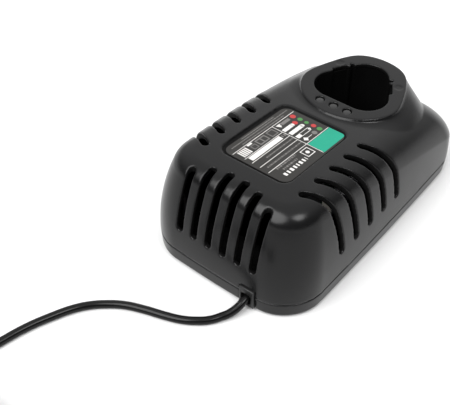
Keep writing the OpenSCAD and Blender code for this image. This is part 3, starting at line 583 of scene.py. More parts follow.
flare_shares = (1, 0.86, 0.72, 0.6, 0.5, 0.41, 0.33, 0.26, 0.2, 0.15, 0.11, 0.08, 0.05, 0.03, 0.015, 0.005)
quarter_turns = [math.pi / 2 * i / 4 for i in range(5)]
rim_rings = [rim_loop(-3, RIM_Z - RIM_DEPTH)]
rim_rings += [flare_loop(share) for share in flare_shares]
rim_rings += [rim_loop(-RIM_ROUND * (1 - math.cos(t)), RIM_Z - RIM_ROUND * (1 - math.sin(t)))
              for t in quarter_turns]
rim = as_object(loft(rim_rings), "rim")
rim_hollow = as_object(loft([rim_loop(-WALL, RIM_Z - WALL - 20), rim_loop(-WALL, RIM_Z - WALL)]), "rim_hollow")
print("faces of the rim:", len(rim.data.polygons))

# %% [markdown]
# ## Cutters
#
# Openings are cut with solids of their own shape. A slot's cutter is the convex hull of four round ends: two
# spheres at its lower corners and two circles far above, which gives the slot its round lower edge and its round
# inner end. Flat openings are outlines pushed up into prisms by the extrude operator.

# %% Slot cutters
SLOT_FOOT = 24.2
SIDE_SLOTS, SIDE_WIDTH, SIDE_FIRST, SIDE_PITCH = 5, 4.0, -1.1, 12.54
SIDE_INNER, SIDE_OUTER = 29, 55
FRONT_SLOTS, FRONT_WIDTH, FRONT_PITCH, FRONT_INNER = 6, 4.1, 8.97, 19
FRONT_BEND = 0.0138


def slot_cutter(inner, outer, width):
    """A tall round-ended blade from one plan place to another."""
    mesh = bmesh.new()
    for x, y in (inner, outer):
        low = Matrix.Translation(mm(x, y, SLOT_FOOT + width / 2))
        high = Matrix.Translation(mm(x, y, PEAK + 20))
        bmesh.ops.create_uvsphere(mesh, u_segments=24, v_segments=12, radius=width / 2 * MM, matrix=low)
        bmesh.ops.create_circle(mesh, segments=24, radius=width / 2 * MM, matrix=high)
    hull = bmesh.ops.convex_hull(mesh, input=mesh.verts)
    bmesh.ops.delete(mesh, geom=verts_of(hull["geom_interior"]), context="VERTS")
    return as_object(mesh, "slot_cutter")


cutters = []
slant = math.tan(math.radians(26.4))
for i in range(SIDE_SLOTS):
    y = SIDE_FIRST - SIDE_PITCH * i
    outer_y = y + slant * (SIDE_OUTER - SIDE_INNER)
    for side in (-1, 1):
        cutters.append(slot_cutter((side * SIDE_INNER, y), (side * SIDE_OUTER, outer_y), SIDE_WIDTH))
for i in range(FRONT_SLOTS):
    x = (i - 2.5) * FRONT_PITCH
    inner_y = FRONT_INNER - HALF_LENGTH - FRONT_BEND * x * x
    cutters.append(slot_cutter((x, inner_y), (x, -HALF_LENGTH - 6), FRONT_WIDTH))
print("slots:", len(cutters))

# %% Outlines of the flat openings
LOBE_REACH, LOBE_RADIUS, LOBE_FLAT = 10.3, 12.2, 17.35
GUIDE_STEPS = ((-5.2, 0), (-4.6, 1.8), (4.2, 1.8), (4.8, 0.2), (5.8, 0), (6.4, 2.3), (7.7, 2.3), (8.4, 0))


def arc(x, y, radius, start, end, steps):
    """Points on an arc, in millimetres and degrees, with both ends."""
    turns = [math.radians(start + (end - start) * i / steps) for i in range(steps + 1)]
    return [(x + radius * math.cos(t), y + radius * math.sin(t)) for t in turns]


def round_rect(width, length, radius):
    """Outline of a rectangle with round corners, about the origin."""
    a, b = width / 2 - radius, length / 2 - radius
    corners = ((a, b, 0), (-a, b, 90), (-a, -b, 180), (a, -b, 270))
    return [point for x, y, start in corners for point in arc(x, y, radius, start, start + 90, 8)]


def socket_outline(margin=0.0, keyed=0.0):
    """Three round lobes joined by flats, about the socket axis; keyed is the share of the guide steps' depth."""
    points = []
    for middle, mirror in ((90, -1), (210, 0), (330, 1)):
        lobe_x = LOBE_REACH * math.cos(math.radians(middle))
        lobe_y = LOBE_REACH * math.sin(math.radians(middle))
        points += arc(lobe_x, lobe_y, LOBE_RADIUS + margin, middle - 60, middle + 60, 18)
        if keyed and mirror:
            out = Vector((math.cos(math.radians(middle + 60)), math.sin(math.radians(middle + 60))))
            along = Vector((-out.y, out.x))
            for run, depth in GUIDE_STEPS[::mirror]:
                points.append(tuple(out * (LOBE_FLAT + margin + keyed * depth) + along * run * mirror))
    return [(x, y + SOCKET_Y) for x, y in points]


def prism(outline, low, high, name="prism", place=None):
    """The outline in mm as a solid between two heights, moved by a matrix if one is given."""
    mesh = bmesh.new()
    face = mesh.faces.new([mesh.verts.new(mm(x, y, low)) for x, y in outline])
    lifted = bmesh.ops.extrude_face_region(mesh, geom=[face])["geom"]
    bmesh.ops.translate(mesh, verts=verts_of(lifted), vec=mm(0, 0, high - low))
    if place is not None:
        bmesh.ops.transform(mesh, matrix=place, verts=mesh.verts)
    return as_object(mesh, name)


# %% [markdown]
# The label sits in a shallow recess whose floor follows the slope of the top. The recess, and later the label and
# its print, share one matrix that tilts them to the chord of the top line.

# %% Cutters for the socket, the windows and the label recess
LABEL_Y, LABEL_WIDTH, LABEL_LENGTH = -24.25, 39, 53
near_z, far_z = top_height(LABEL_Y - LABEL_LENGTH / 2), top_height(LABEL_Y + LABEL_LENGTH / 2)
label_tilt = math.atan((near_z - far_z) / LABEL_LENGTH)
RECESS_DEPTH, RECESS_SHIFT_X, RECESS_SHIFT_Y = 0.7, -0.8, 0.6
floor_place = Matrix.Translation(mm(0, LABEL_Y, (near_z + far_z) / 2 - RECESS_DEPTH))
label_floor = floor_place @ Matrix.Rotation(-label_tilt, 4, "X")
recess = [(x + RECESS_SHIFT_X, y + RECESS_SHIFT_Y) for x, y in round_rect(LABEL_WIDTH + 2.5, LABEL_LENGTH + 3.5, 6)]
cutters.append(prism(recess, 0, 6, "label_cutter", label_floor))

WINDOW_PLACES = [(-8.4, 18), (0, 18), (8.4, 18)]
WINDOW_RADIUS = 2.5
for x, y in WINDOW_PLACES:
    cutters.append(prism(arc(x, y, WINDOW_RADIUS, 0, 348.75, 31), RIM_Z - 6, RIM_Z + 2, "window_cutter"))
cutters.append(prism(socket_outline(keyed=1), RIM_Z - 6, RIM_Z + 2, "socket_cutter"))
for side in (-1, 1):
    cutters.append(prism(arc(side * 18.6, 52.6, 2.4, 0, 352.5, 47), RIM_Z - 0.3, RIM_Z + 2, "pin_mark_cutter"))
print("cutters:", len(cutters))

# %% [markdown]
# ## One soft-edged moulding
#
# The parts are joined and cut with exact booleans. Their result has hard, knife-like edges and uneven faces, and
# no moulded part looks like that. A voxel remesh lays an even net over the whole form, a few rounds of smoothing
# then round every edge by almost the width of one face of the net, and decimation takes out the faces that flat
# stretches don't need. The inside, which shows only through the slots, is thinned the most. Faces that lie deeper
# than the outer form get a darker, duller black as painted shade, because the walls of a slot catch little light.

# %% Helpers for joining and softening
CLOSE, WELD = 0.5 * MM, 0.01 * MM


def apply_modifiers(item):
    """The item's mesh becomes what its modifiers show."""
    graph = bpy.context.evaluated_depsgraph_get()
    data = bpy.data.meshes.new_from_object(item.evaluated_get(graph))
    item.modifiers.clear()
    item.data = data


def boolean(item, others, operation):
    """Exact booleans with each of the others, which are then removed."""
    for other in others:
        modifier = item.modifiers.new("boolean", "BOOLEAN")
        modifier.operation, modifier.object, modifier.solver = operation, other, "EXACT"
    apply_modifiers(item)
    for other in others:
        bpy.data.objects.remove(other)


def soften(item, voxel, rounds):
    """An even net of faces of this size in mm, then this many rounds of smoothing."""
    remesh = item.modifiers.new("remesh", "REMESH")
    remesh.mode, remesh.voxel_size = "VOXEL", voxel * MM
    smooth = item.modifiers.new("smooth", "SMOOTH")
    smooth.factor, smooth.iterations = 0.5, rounds
    apply_modifiers(item)


def thin_out(item, ratio, inside):
    """Fewer faces, taken first where the surface lies close to the inside form."""
    inner = BVHTree.FromObject(inside, bpy.context.evaluated_depsgraph_get())
    near = [v.index for v in item.data.vertices if inner.find_nearest(v.co, CLOSE)[0] is not None]
    group = item.vertex_groups.new(name="inside")
    group.add(range(len(item.data.vertices)), 0.25, "REPLACE")
    group.add(near, 1.0, "REPLACE")
    decimate = item.modifiers.new("decimate", "DECIMATE")
    decimate.ratio, decimate.vertex_group = ratio, "inside"
    apply_modifiers(item)
    item.vertex_groups.clear()


# %% Join, cut and soften the housing
HOUSING_NET, HOUSING_SHARE, SMOOTHING_ROUNDS = 0.4, 0.22, 5
boolean(housing, [rim], "UNION")
outside_form = housing.copy()
outside_form.data = housing.data.copy()
bpy.context.scene.collection.objects.link(outside_form)
boolean(hollow, [rim_hollow], "UNION")
inside_form = hollow.copy()
bpy.context.scene.collection.objects.link(inside_form)
gland_space = [(16.35, -84), (25.45, -84), (25.45, -77.25), (16.35, -77.25)]
cutters.append(prism(gland_space, 1.5, 13.75, "gland_cutter"))
boolean(housing, [hollow, *cutters], "DIFFERENCE")
print("faces after the cuts:", len(housing.data.polygons))
soften(housing, HOUSING_NET, SMOOTHING_ROUNDS)
print("faces of the even net:", len(housing.data.polygons))
thin_out(housing, HOUSING_SHARE, inside_form)
# Faces more than half a millimetre inside the outer form are picked to carry the painted shade.
outer = BVHTree.FromObject(outside_form, bpy.context.evaluated_depsgraph_get())
painted_shade_faces = [face.index for face in housing.data.polygons
                if outer.find_nearest(face.center, CLOSE)[0] is None]
bpy.data.objects.remove(inside_form)
bpy.data.objects.remove(outside_form)
print("faces kept:", len(housing.data.polygons), "of them inside:", len(painted_shade_faces))

# %% Finish the top housing
def finish_piece(item, finish, *replaced, sharp=40, slot=None):
    """Smooth shading with real corners kept sharp, a finish, and the piece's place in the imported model."""
    item.data.shade_smooth()
    if sharp is not None:
        item.data.set_sharp_from_angle(angle=math.radians(sharp))
    item.data.materials.clear()
    item.data.materials.append(finishes[finish])
    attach(item, "root")
    if replaced:
        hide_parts(*replaced)
    return item


finish_piece(housing, "housing", "top_housing", sharp=None)
# The deeper faces take the darker finish, which paints in the shade on the slots' walls and inside.
housing.data.materials.append(finishes["housing_painted_shade"])
for index in painted_shade_faces:
    housing.data.polygons[index].material_index = 1
print("faces in the duller black:", len(painted_shade_faces))

# %% [markdown]
# ## The base
#
# The base is a shallow tray with the same outline. Its lower edge turns in a little, so that the housing seems to
# hover over its feet. Its upper edge stops short of the parting line and leaves the fine dark groove that every
# two-part housing has; a tongue behind the groove keeps light and fingers out.

# %% The tray
def outline_at(inset, z):
    """The plan outline at an inset all round, at a height."""
    return both_sides([mm(*plan_point(m, inset, inset), z) for m in marks])


FLOOR_Z = 3.2
TRAY_NET, TRAY_SHARE = 0.5, 0.35
tray_rings = [outline_at(inset, z) for inset, z in ((1.6, 1), (0.95, 1.25), (0.5, 1.9), (0, 9.6))]
tray = as_object(loft(tray_rings), "tray")
tray_hollow = as_object(loft([outline_at(WALL, FLOOR_Z), outline_at(WALL, 15)]), "tray_hollow")
tongue = as_object(loft([outline_at(1.5, 8), outline_at(1.5, 11.6)]), "tongue")
boolean(tray, [tongue], "UNION")
tray_cutters = [tray_hollow, prism(gland_space, 1.5, 16, "gland_cutter")]
FOOT_PLACES = [(x, y) for x in (-35, 35) for y in (-43, 43)]
POST_PLACES = [(x, y) for x in (-37.5, 37.5) for y in (-59, 59)]
SCREW_HOLE_R = 3.4
for x, y in FOOT_PLACES:
    tray_cutters.append(prism(arc(x, y, 6, 0, 352.5, 47), -1, 1.8, "foot_cutter"))
for x, y in POST_PLACES:
    tray_cutters.append(prism(arc(x, y, SCREW_HOLE_R, 0, 348.75, 31), -1, FLOOR_Z + 1, "screw_cutter"))
for row in (-37, -11):
    for i in range(6):
        x = -18 + 7.2 * i
        vent = arc(x, row + 7.9, 1.1, 0, 180, 8) + arc(x, row - 7.9, 1.1, 180, 360, 8)
        tray_cutters.append(prism(vent, -1, FLOOR_Z + 1, "vent_cutter"))
boolean(tray, tray_cutters, "DIFFERENCE")
soften(tray, TRAY_NET, SMOOTHING_ROUNDS)
decimate = tray.modifiers.new("decimate", "DECIMATE")
decimate.ratio = TRAY_SHARE
apply_modifiers(tray)
print("faces of the tray:", len(tray.data.polygons))
finish_piece(tray, "housing", "base_housing", sharp=None)

# %% [markdown]
# The base loses the screw posts that the construction has, because the tray above is only its outer form. They
# matter from below, where each screw sits at the end of a deep round well, so the wells come back as plain tubes.

# %% Screw wells
TUBE_FOOT, TUBE_TOP, TUBE_WALL = FLOOR_Z - 0.5, 8.2, 0.8
wells = bmesh.new()
for x, y in POST_PLACES:
    bmesh.ops.create_circle(wells, segments=32, radius=SCREW_HOLE_R * MM,
                            matrix=Matrix.Translation(mm(x, y, TUBE_FOOT)))
lifted = bmesh.ops.extrude_edge_only(wells, edges=list(wells.edges))["geom"]
bmesh.ops.translate(wells, verts=verts_of(lifted), vec=mm(0, 0, TUBE_TOP - TUBE_FOOT))
bmesh.ops.contextual_create(wells, geom=[part for part in lifted if isinstance(part, bmesh.types.BMEdge)])
bmesh.ops.solidify(wells, geom=wells.faces, thickness=-TUBE_WALL * MM)
finish_piece(as_object(wells, "screw_wells"), "housing")
print("screw wells:", len(POST_PLACES))

# %% [markdown]
# ## The battery well
#
# Below the rim hangs the well that guides the battery stem. It is a wall of even thickness round the socket's
# outline, with the same guide steps on its two rear flats, which key the pack.

# %% The well
WELL_FLOOR, WELL_WALL = 10, 2
well = prism(socket_outline(WELL_WALL), WELL_FLOOR - WELL_WALL, RIM_Z - WALL, "battery_well_lining")
boolean(well, [prism(socket_outline(keyed=0.6), WELL_FLOOR, RIM_Z, "well_cutter")], "DIFFERENCE")
# The well takes the near-black finish, which paints in the shade inside the socket.
finish_piece(well, "well", "battery_well", sharp=30)
print("faces of the well:", len(well.data.polygons))

# %% [markdown]
# Black insulating film stands round the board, as is usual in mains chargers. Here it is also painted shade: a
# near-black sheet that keeps the floor from showing through the slots, so from outside it shows only as darkness
# behind them. A line of edges is extruded upwards, and solidify gives the sheet its thickness.

# %% Insulating film
FILM_FOOT, FILM_THICK = 11, 0.4


def shade_film_sheet(name, path):
    """A thin sheet standing on a bent line; the path gives x, y and the upper edge in millimetres."""
    mesh = bmesh.new()
    foot = [mesh.verts.new(mm(x, y, FILM_FOOT)) for x, y, _ in path]
    edges = [mesh.edges.new(pair) for pair in zip(foot, foot[1:])]
    lifted = bmesh.ops.extrude_edge_only(mesh, edges=edges)["geom"]
    for vert in verts_of(lifted):
        vert.co.z = min(path, key=lambda p: (mm(p[0], p[1], 0) - vert.co).xy.length)[2] * MM
    bmesh.ops.solidify(mesh, geom=mesh.faces, thickness=FILM_THICK * MM)
    return finish_piece(as_object(mesh, name), "well", sharp=30)


# The sheets take the near-black well finish, which paints in the shade inside the housing behind the slots.
sheets = [shade_film_sheet(f"insulating_shade_film_{side}",
                     [(start, -53.2, 48), (x, -53.2, 47), (x, -8, 45), (x, 24, 41.5)])
          for side, start, x in (("left", 13, -40.6), ("right", 28.8, 40.6))]
print("film sheets:", len(sheets))

# %% [markdown]
# ## Indicator windows
#
# Three small lenses sit a little below the rim's surface. A lens is a profile spun round its axis: a shallow dome
# that meets a straight side. Smoked clear plastic over a dark housing reads as black with one small highlight.

# %% Lenses
LENS_TOP, LENS_R, LENS_DOME, LENS_DEPTH = RIM_Z - 0.35, 2.35, 0.7, 4
dome_turns = [math.pi / 2 * i / 6 for i in range(7)]
lenses = bmesh.new()
for x, y in WINDOW_PLACES:
    dome = [mm(x + LENS_R * math.sin(t), y, LENS_TOP - LENS_DOME * (1 - math.cos(t))) for t in dome_turns]
    foot = [mm(x + LENS_R, y, LENS_TOP - LENS_DEPTH), mm(x, y, LENS_TOP - LENS_DEPTH)]
    profile = [lenses.verts.new(point) for point in dome + foot]
    edges = [lenses.edges.new(pair) for pair in zip(profile, profile[1:])]
    bmesh.ops.spin(lenses, geom=profile + edges, cent=mm(x, y, 0), axis=(0, 0, 1), angle=math.tau, steps=32,
                   use_merge=True)
bmesh.ops.remove_doubles(lenses, verts=lenses.verts, dist=WELD)
finish_piece(as_object(lenses, "window_lenses"), "light_pipe", "light_pipes", sharp=50)
print("lenses:", len(WINDOW_PLACES))

# %% [markdown]
# ## The label
#
# The label is a printed film in its recess. Its print stands for the usual contents of such a label without
# saying anything: rules, a coloured block, rows of small dashes, status dots and battery shapes. Every mark is a
# flat solid a few hundredths of a millimetre high, placed by the label's own matrix.

# %% Film and print helpers
film = prism(round_rect(LABEL_WIDTH - 0.6, LABEL_LENGTH - 0.6, 4.7), 0, 0.3, "label_film", label_floor)
finish_piece(film, "label", "label_plate", sharp=30)
print("label in mm:", LABEL_WIDTH, "x", LABEL_LENGTH)

INK_LOW, INK_HIGH = 0.29, 0.33


def add_bar(mesh, left, low, right, high):
    """A flat printed rectangle between two corners of the label, in millimetres."""
    size = Matrix.Diagonal(((right - left) * MM, (high - low) * MM, (INK_HIGH - INK_LOW) * MM, 1))
    middle = Matrix.Translation(mm((left + right) / 2, (low + high) / 2, (INK_LOW + INK_HIGH) / 2))
    bmesh.ops.create_cube(mesh, size=1, matrix=label_floor @ middle @ size)


def add_disc(mesh, x, y, radius, sides=32, turn=0.0):
    """A flat printed disc, or a polygon with this many sides."""
    middle = Matrix.Translation(mm(x, y, (INK_LOW + INK_HIGH) / 2)) @ Matrix.Rotation(math.radians(turn), 4, "Z")
    bmesh.ops.create_cone(mesh, cap_ends=True, segments=sides, radius1=radius * MM, radius2=radius * MM,
                          depth=(INK_HIGH - INK_LOW) * MM, matrix=label_floor @ middle)


def add_frame(mesh, x, y, width, length, line):
    """The outline of a rectangle about a place."""
    a, b = width / 2, length / 2
    add_bar(mesh, x - a, y - b, x - a + line, y + b)
    add_bar(mesh, x + a - line, y - b, x + a, y + b)
    add_bar(mesh, x - a + line, y - b, x + a - line, y - b + line)
    add_bar(mesh, x - a + line, y + b - line, x + a - line, y + b)


def add_dashes(mesh, x, low, high, width, pattern):
    """A row of dashes along the label; the pattern gives dash lengths that repeat."""
    y, i = low, 0
    while y < high:
        length = min(pattern[i % len(pattern)], high - y)
        add_bar(mesh, x - width / 2, y, x + width / 2, y + length)
        y += length + 0.55 * width
        i += 1


# %% The white print
white = bmesh.new()
RULES = ((-13.4, -25.3, 25.3), (7.9, -25, 25.7), (-6.7, -24.4, 6.3), (-2.3, -24.4, 6.3), (2.5, -24.4, 6.3))
for x, low, high in RULES:
    add_bar(white, x - 0.16, low, x + 0.16, high)
for bar in ((-13.4, 6.25, 18, 6.57), (-6.1, -22.4, -3.2, 2.2), (0.2, 7.6, 2.6, 10.9), (-12.2, 9.9, -10.2, 10.6),
            (5.15, 11, 5.45, 14.8), (-13, -15, -11.9, -11.6)):
    add_bar(white, *bar)
for x, low, high, width in ((-6.8, 7.4, 15, 2.3), (-2.8, 7.6, 18, 2.4)):
    add_bar(white, x - width / 2, low, x + width / 2, high)
    add_disc(white, x, high, width / 2)
add_frame(white, 1.4, 14.5, 2.6, 7.6, 0.3)
add_frame(white, 12, 1.3, 5.6, 5.9, 0.45)
add_disc(white, 1.4, 18.2, 0.8)
add_disc(white, 12, 1.3, 1.1)
add_disc(white, -11.2, 9.6, 1.9, sides=3, turn=30)
add_disc(white, 5.3, 9.7, 1.6, sides=4)
for i in range(5):
    add_bar(white, -12.6, -23 + 1.35 * i, -7.6, -22.2 + 1.35 * i)
add_dashes(white, 14.4, -21, -3.2, 2.2, (1.5, 1.1, 1.6, 1.2, 0.9))
print_white = finish_piece(as_object(white, "label_print_white"), "ink_white", sharp=30, slot="label")
print("faces of the white print:", len(print_white.data.polygons))

# %% The fine grey print
grey = bmesh.new()
SMALL_PRINT = ((-18, -12.5, 14, 0.55), (-16.6, -22, 24, 0.55), (-14.9, -15.5, 18.5, 0.55), (0.1, -16, 6, 0.8),
               (5.1, -22, 6, 0.9), (9, -20, -4.6, 1.1), (11.4, -18, -6.5, 1.1))
for x, low, high, width in SMALL_PRINT:
    add_dashes(grey, x, low, high, width, (0.9, 0.6, 1.3, 0.7, 1.6, 0.5))
for outline in ((-10.1, 2.2, 4.6, 5, 0.5), (-10.1, -5.9, 4.4, 7.6, 0.7), (-9.5, -12.8, 3.2, 3.6, 0.4)):
    add_frame(grey, *outline)
add_bar(grey, -12, -6.3, -8.2, -5.6)
add_bar(grey, -12.1, 11.4, -10.1, 18.2)
add_disc(grey, 5.3, 17.2, 1.5)
add_dashes(grey, -4.6, 3, 6, 1.6, (0.8, 1.1))
print_grey = finish_piece(as_object(grey, "label_print_grey"), "ink_grey", sharp=30, slot="label")
print("faces of the grey print:", len(print_grey.data.polygons))

# %% The coloured print
RED_DOTS = ((-11, 21.3, 1.6), (-6.9, 17.4, 1.5), (1.5, 21.9, 1.4))
GREEN_DOTS = ((-6.8, 21.8, 1.4), (-2.7, 21.7, 1.2), (5.3, 21.7, 1.5))
block = [(8.35, 6.8), (18.2, 6.8)] + arc(16, 23.9, 2.2, 0, 90, 8) + [(8.35, 26.1)]
teal = prism(block, INK_LOW, INK_HIGH, "label_print_teal", label_floor)
finish_piece(teal, "ink_teal", sharp=30, slot="label")
for colour, dots in (("red", RED_DOTS), ("green", GREEN_DOTS)):
    mesh = bmesh.new()
    for x, y, radius in dots:
        add_disc(mesh, x, y, radius)
    finish_piece(as_object(mesh, f"label_dots_{colour}"), f"ink_{colour}", sharp=30, slot="label")
print("coloured dots:", len(RED_DOTS) + len(GREEN_DOTS))

# %% [markdown]
# ## The cord gland
#
# A moulded grommet closes the notch where the cord comes out. It is a block with soft edges and an oblong mouth
# that is much larger than the cord, so that the cord can swing a little without a sharp bend. Inside the wall a
# flange holds the block in place, and a tapered sleeve keeps the cord from kinking. The bevel operator rounds the
# block's edges, and the mouth is cut afterwards so that its rim gets its own small round.

# %% The gland
GLAND_X, GLAND_Z = 20.9, 7
MOUTH_WIDTH, MOUTH_HEIGHT, BORE_R = 6, 6.6, 2.15


def round_edges(mesh, edges, radius, segments):
    """The bevel operator with plain round settings."""
    bmesh.ops.bevel(mesh, geom=edges, offset=radius, offset_type="OFFSET", affect="EDGES", segments=segments,
                    profile=0.5, material=-1)


def soft_box(low, high, edge, name):
    """A box between two corners in millimetres with its edges rounded."""
    mesh = bmesh.new()
    size = [b - a for a, b in zip(low, high)]
    middle = Matrix.Translation(mm(*[(a + b) / 2 for a, b in zip(low, high)]))
    bmesh.ops.create_cube(mesh, size=1, matrix=middle @ Matrix.Diagonal((*[s * MM for s in size], 1)))
    round_edges(mesh, mesh.edges, edge * MM, 3)
    return as_object(mesh, name)


along_y = Matrix.Rotation(math.radians(-90), 4, "X")
gland = soft_box((16.5, -81.7, 2), (25.3, -77, 13.6), 0.5, "gland_block")
flange = soft_box((GLAND_X - 6.4, -77.4, 3.2), (GLAND_X + 6.4, -75.4, 15.2), 0.3, "gland_flange")
sleeve_mesh = bmesh.new()
bmesh.ops.create_cone(sleeve_mesh, cap_ends=True, segments=32, radius1=4.2 * MM, radius2=3 * MM, depth=16.5 * MM,
                      matrix=Matrix.Translation(mm(GLAND_X, -67.65, GLAND_Z)) @ along_y)
boolean(gland, [flange, as_object(sleeve_mesh, "gland_sleeve")], "UNION")
mouth_place = Matrix.Translation(mm(GLAND_X, -81.7, GLAND_Z)) @ along_y
mouth = prism(round_rect(MOUTH_WIDTH, MOUTH_HEIGHT, 1.6), -3, 2.8, "mouth_cutter", mouth_place)
bore = prism(arc(0, 0, BORE_R, 0, 348.75, 31), 2, 25, "bore_cutter", mouth_place)
boolean(gland, [mouth, bore], "DIFFERENCE")
edge_round = gland.modifiers.new("edge_round", "BEVEL")
edge_round.width, edge_round.segments, edge_round.limit_method = 0.25 * MM, 2, "ANGLE"
edge_round.angle_limit = math.radians(50)
apply_modifiers(gland)
finish_piece(gland, "gland", "cord_gland", sharp=50)
print("faces of the gland:", len(gland.data.polygons))

# %% [markdown]
# ## The plug
#
# The plug lies beside the coil. Its body is a flat block that narrows towards the cord, its cord relief is a
# profile spun round the axis with rings that let it bend, and its pins have plastic collars, so that no bare metal
# can be touched while they slide into a socket. All of it is built along its own X axis and then put in place.

# %% Place of the plug
plug_start = last + Vector((0, 0, PLUG_AXIS_Z)) * MM
plug_place = Matrix.Translation(plug_start) @ Matrix.Rotation(PLUG_TURN, 4, "Z")
RELIEF_FROM, BODY_FROM, BODY_TO, PIN_TO = 26, 50, 84, 103


def spun(profile, name, y=0.0):
    """A closed form from (x, radius) pairs in millimetres, spun round the plug's axis at this distance from it."""
    mesh = bmesh.new()
    line = [mesh.verts.new(mm(x, y, radius)) for x, radius in profile]
    edges = [mesh.edges.new(pair) for pair in zip(line, line[1:])]
    bmesh.ops.spin(mesh, geom=line + edges, cent=mm(0, y, 0), axis=(1, 0, 0), angle=math.tau, steps=32,
                   use_merge=True)
    bmesh.ops.remove_doubles(mesh, verts=mesh.verts, dist=WELD)
    bmesh.ops.transform(mesh, matrix=plug_place, verts=mesh.verts)
    return as_object(mesh, name)


print("the plug's cord end in mm:", [round(v / MM, 1) for v in plug_start])

# %% Body of the plug
BODY_SIZE = (34 * MM, 36 * MM, 14 * MM)
CORNER_ROUND, EDGE_ROUND = 6 * MM, 2.2 * MM
body_mesh = bmesh.new()
middle = Matrix.Translation(mm((BODY_FROM + BODY_TO) / 2, 0, 0))
bmesh.ops.create_cube(body_mesh, size=1, matrix=middle @ Matrix.Diagonal((*BODY_SIZE, 1)))
upright = [e for e in body_mesh.edges if abs((e.verts[0].co - e.verts[1].co).z) > 10 * MM]
round_edges(body_mesh, upright, CORNER_ROUND, 8)
level = [e for e in body_mesh.edges if abs(e.verts[0].co.z - e.verts[1].co.z) < 0.1 * MM]
round_edges(body_mesh, level, EDGE_ROUND, 4)
for vert in body_mesh.verts:
    share = 1 - (vert.co.x / MM - BODY_FROM) / (BODY_TO - BODY_FROM)
    vert.co.y *= 1 - 0.3 * share ** 2
    vert.co.z *= 1 - 0.14 * share
bmesh.ops.transform(body_mesh, matrix=plug_place, verts=body_mesh.verts)
plug_body = finish_piece(as_object(body_mesh, "plug_moulding"), "plug", "plug_body", sharp=50)
print("faces of the plug's body:", len(plug_body.data.polygons))

# %% Relief
relief_line = [(RELIEF_FROM, 0), (RELIEF_FROM, 2.7), (RELIEF_FROM + 0.4, 3)]
for i in range(6):
    x = RELIEF_FROM + 2.4 + 3.4 * i
    radius = 3.05 + 0.27 * i
    relief_line += [(x, radius), (x + 0.2, radius - 0.7), (x + 1.1, radius - 0.7), (x + 1.3, radius + 0.1)]
relief_line += [(BODY_FROM - 0.5, 4.7), (BODY_FROM + 4, 5), (BODY_FROM + 4, 0)]
relief = finish_piece(spun(relief_line, "plug_relief"), "plug", sharp=35)
print("faces of the relief:", len(relief.data.polygons))

# %% [markdown]
# The collars end where the bare pins begin. A pin's tip is rounded by a quarter circle at the end of its profile.

# %% Collars and pins
COLLAR_R, PIN_R, PIN_Y, COLLAR_TO, TIP_ROUND = 1.9, 2, 9.3, BODY_TO + 10, 1.2
tip = [(PIN_TO - TIP_ROUND + TIP_ROUND * math.sin(t), PIN_R - TIP_ROUND + TIP_ROUND * math.cos(t))
       for t in quarter_turns]
collar_line = [(BODY_TO - 3, 0), (BODY_TO - 3, COLLAR_R), (COLLAR_TO, COLLAR_R), (COLLAR_TO, 0)]
pin_line = [(COLLAR_TO, 0), (COLLAR_TO, PIN_R)] + tip + [(PIN_TO, 0)]
for name, finish, line, replaced in (("plug_pin_collar", "plug", collar_line, ()),
                                     ("plug_pin", "pin_metal", pin_line, ("plug_pins",))):
    for side, y in (("left", PIN_Y), ("right", -PIN_Y)):
        finish_piece(spun(line, f"{name}_{side}", y), finish, *replaced, sharp=50)

# %% [markdown]
# ## Floor and light
#
# A plain pale floor and big soft lamps, as in a catalogue picture. The main lamp stands in front of the cord end
# and is very wide, so shadows stay faint. A smaller one on the right lifts the long side and puts glints on the
# shoulder.

# %% The floor
FLOOR_REACH = 6
floor_mesh = bmesh.new()
bmesh.ops.create_grid(floor_mesh, x_segments=2, y_segments=2, size=FLOOR_REACH)
floor = as_object(floor_mesh, "floor")
floor.data.materials.append(start_finish("floor_paper", (0.66, 0.66, 0.66), 0.9)[0])
floor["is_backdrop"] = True
print("floor in m:", 2 * FLOOR_REACH, "square")

# %% The lamps
def lamp(name, azimuth, height, spread, strength):
    """A wide soft lamp far away; its direction and spread in degrees, its light in watts per square metre."""
    data = bpy.data.lights.new(name, "SUN")
    data.angle = math.radians(spread)
    data.energy = strength
    item = add_object(name, data)
    turn, rise = math.radians(azimuth), math.radians(height)
    towards = Vector((math.cos(rise) * math.cos(turn), math.cos(rise) * math.sin(turn), math.sin(rise)))
    item.location = towards * 2
    item.rotation_euler = towards.to_track_quat("Z", "Y").to_euler()
    print(name, "with watts per square metre:", strength)


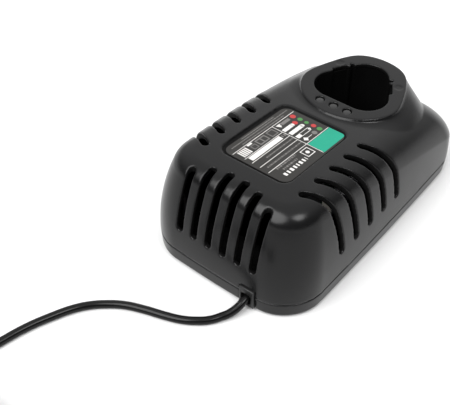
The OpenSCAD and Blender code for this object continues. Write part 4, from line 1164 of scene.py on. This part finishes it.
lamp("front_lamp", azimuth=-100, height=50, spread=50, strength=4)
lamp("right_lamp", azimuth=-10, height=58, spread=22, strength=1.2)

# %% [markdown]
# A glossy dark thing shows the room as much as the lamps. This room is brightest overhead and a little behind, where
# it draws a soft light edge along the shoulder and the rim, and falls off to near darkness in front, which keeps the
# front wall deep. A pale band just over the horizon continues the floor, as a paper sweep does in a studio.

# %% The room
BRIGHTEST = Vector((-0.3, 0.45, 0.84))
world = bpy.data.worlds.new("studio")
world.use_nodes = True
tree = world.node_tree
room = tree.nodes["Background"]
room.inputs["Color"].default_value = (1, 1, 1, 1)
direction = tree.nodes.new("ShaderNodeTexCoord")
towards_brightest = tree.nodes.new("ShaderNodeVectorMath")
towards_brightest.operation = "DOT_PRODUCT"
towards_brightest.inputs[1].default_value = BRIGHTEST
tree.links.new(direction.outputs["Generated"], towards_brightest.inputs[0])
upwards = tree.nodes.new("ShaderNodeSeparateXYZ")
tree.links.new(direction.outputs["Generated"], upwards.inputs[0])


def fade(source, start, end, at_start, at_end):
    """A smooth change of light between two values of a direction."""
    change = tree.nodes.new("ShaderNodeMapRange")
    change.interpolation_type = "SMOOTHSTEP"
    for socket, value in zip(change.inputs[1:5], (start, end, at_start, at_end)):
        socket.default_value = value
    tree.links.new(source, change.inputs["Value"])
    return change.outputs["Result"]


brighter = tree.nodes.new("ShaderNodeMath")
brighter.operation = "MAXIMUM"
overhead = fade(towards_brightest.outputs["Value"], start=0.15, end=1, at_start=0.06, at_end=1.3)
sweep = fade(upwards.outputs["Z"], start=0.095, end=0.13, at_start=1, at_end=0)
tree.links.new(overhead, brighter.inputs[0])
tree.links.new(sweep, brighter.inputs[1])
tree.links.new(brighter.outputs["Value"], room.inputs["Strength"])
bpy.context.scene.world = world
bpy.context.scene.view_settings.view_transform = "Standard"
print("room brightest towards:", tuple(round(part, 2) for part in BRIGHTEST))

# %% [markdown]
# ## The finished box
#
# The finished model has to be as large as the construction, so its box is printed.

# %% Print the finished box
low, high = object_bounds()
print("finished box in mm:", [round(v / MM, 1) for v in (*low, *high)])
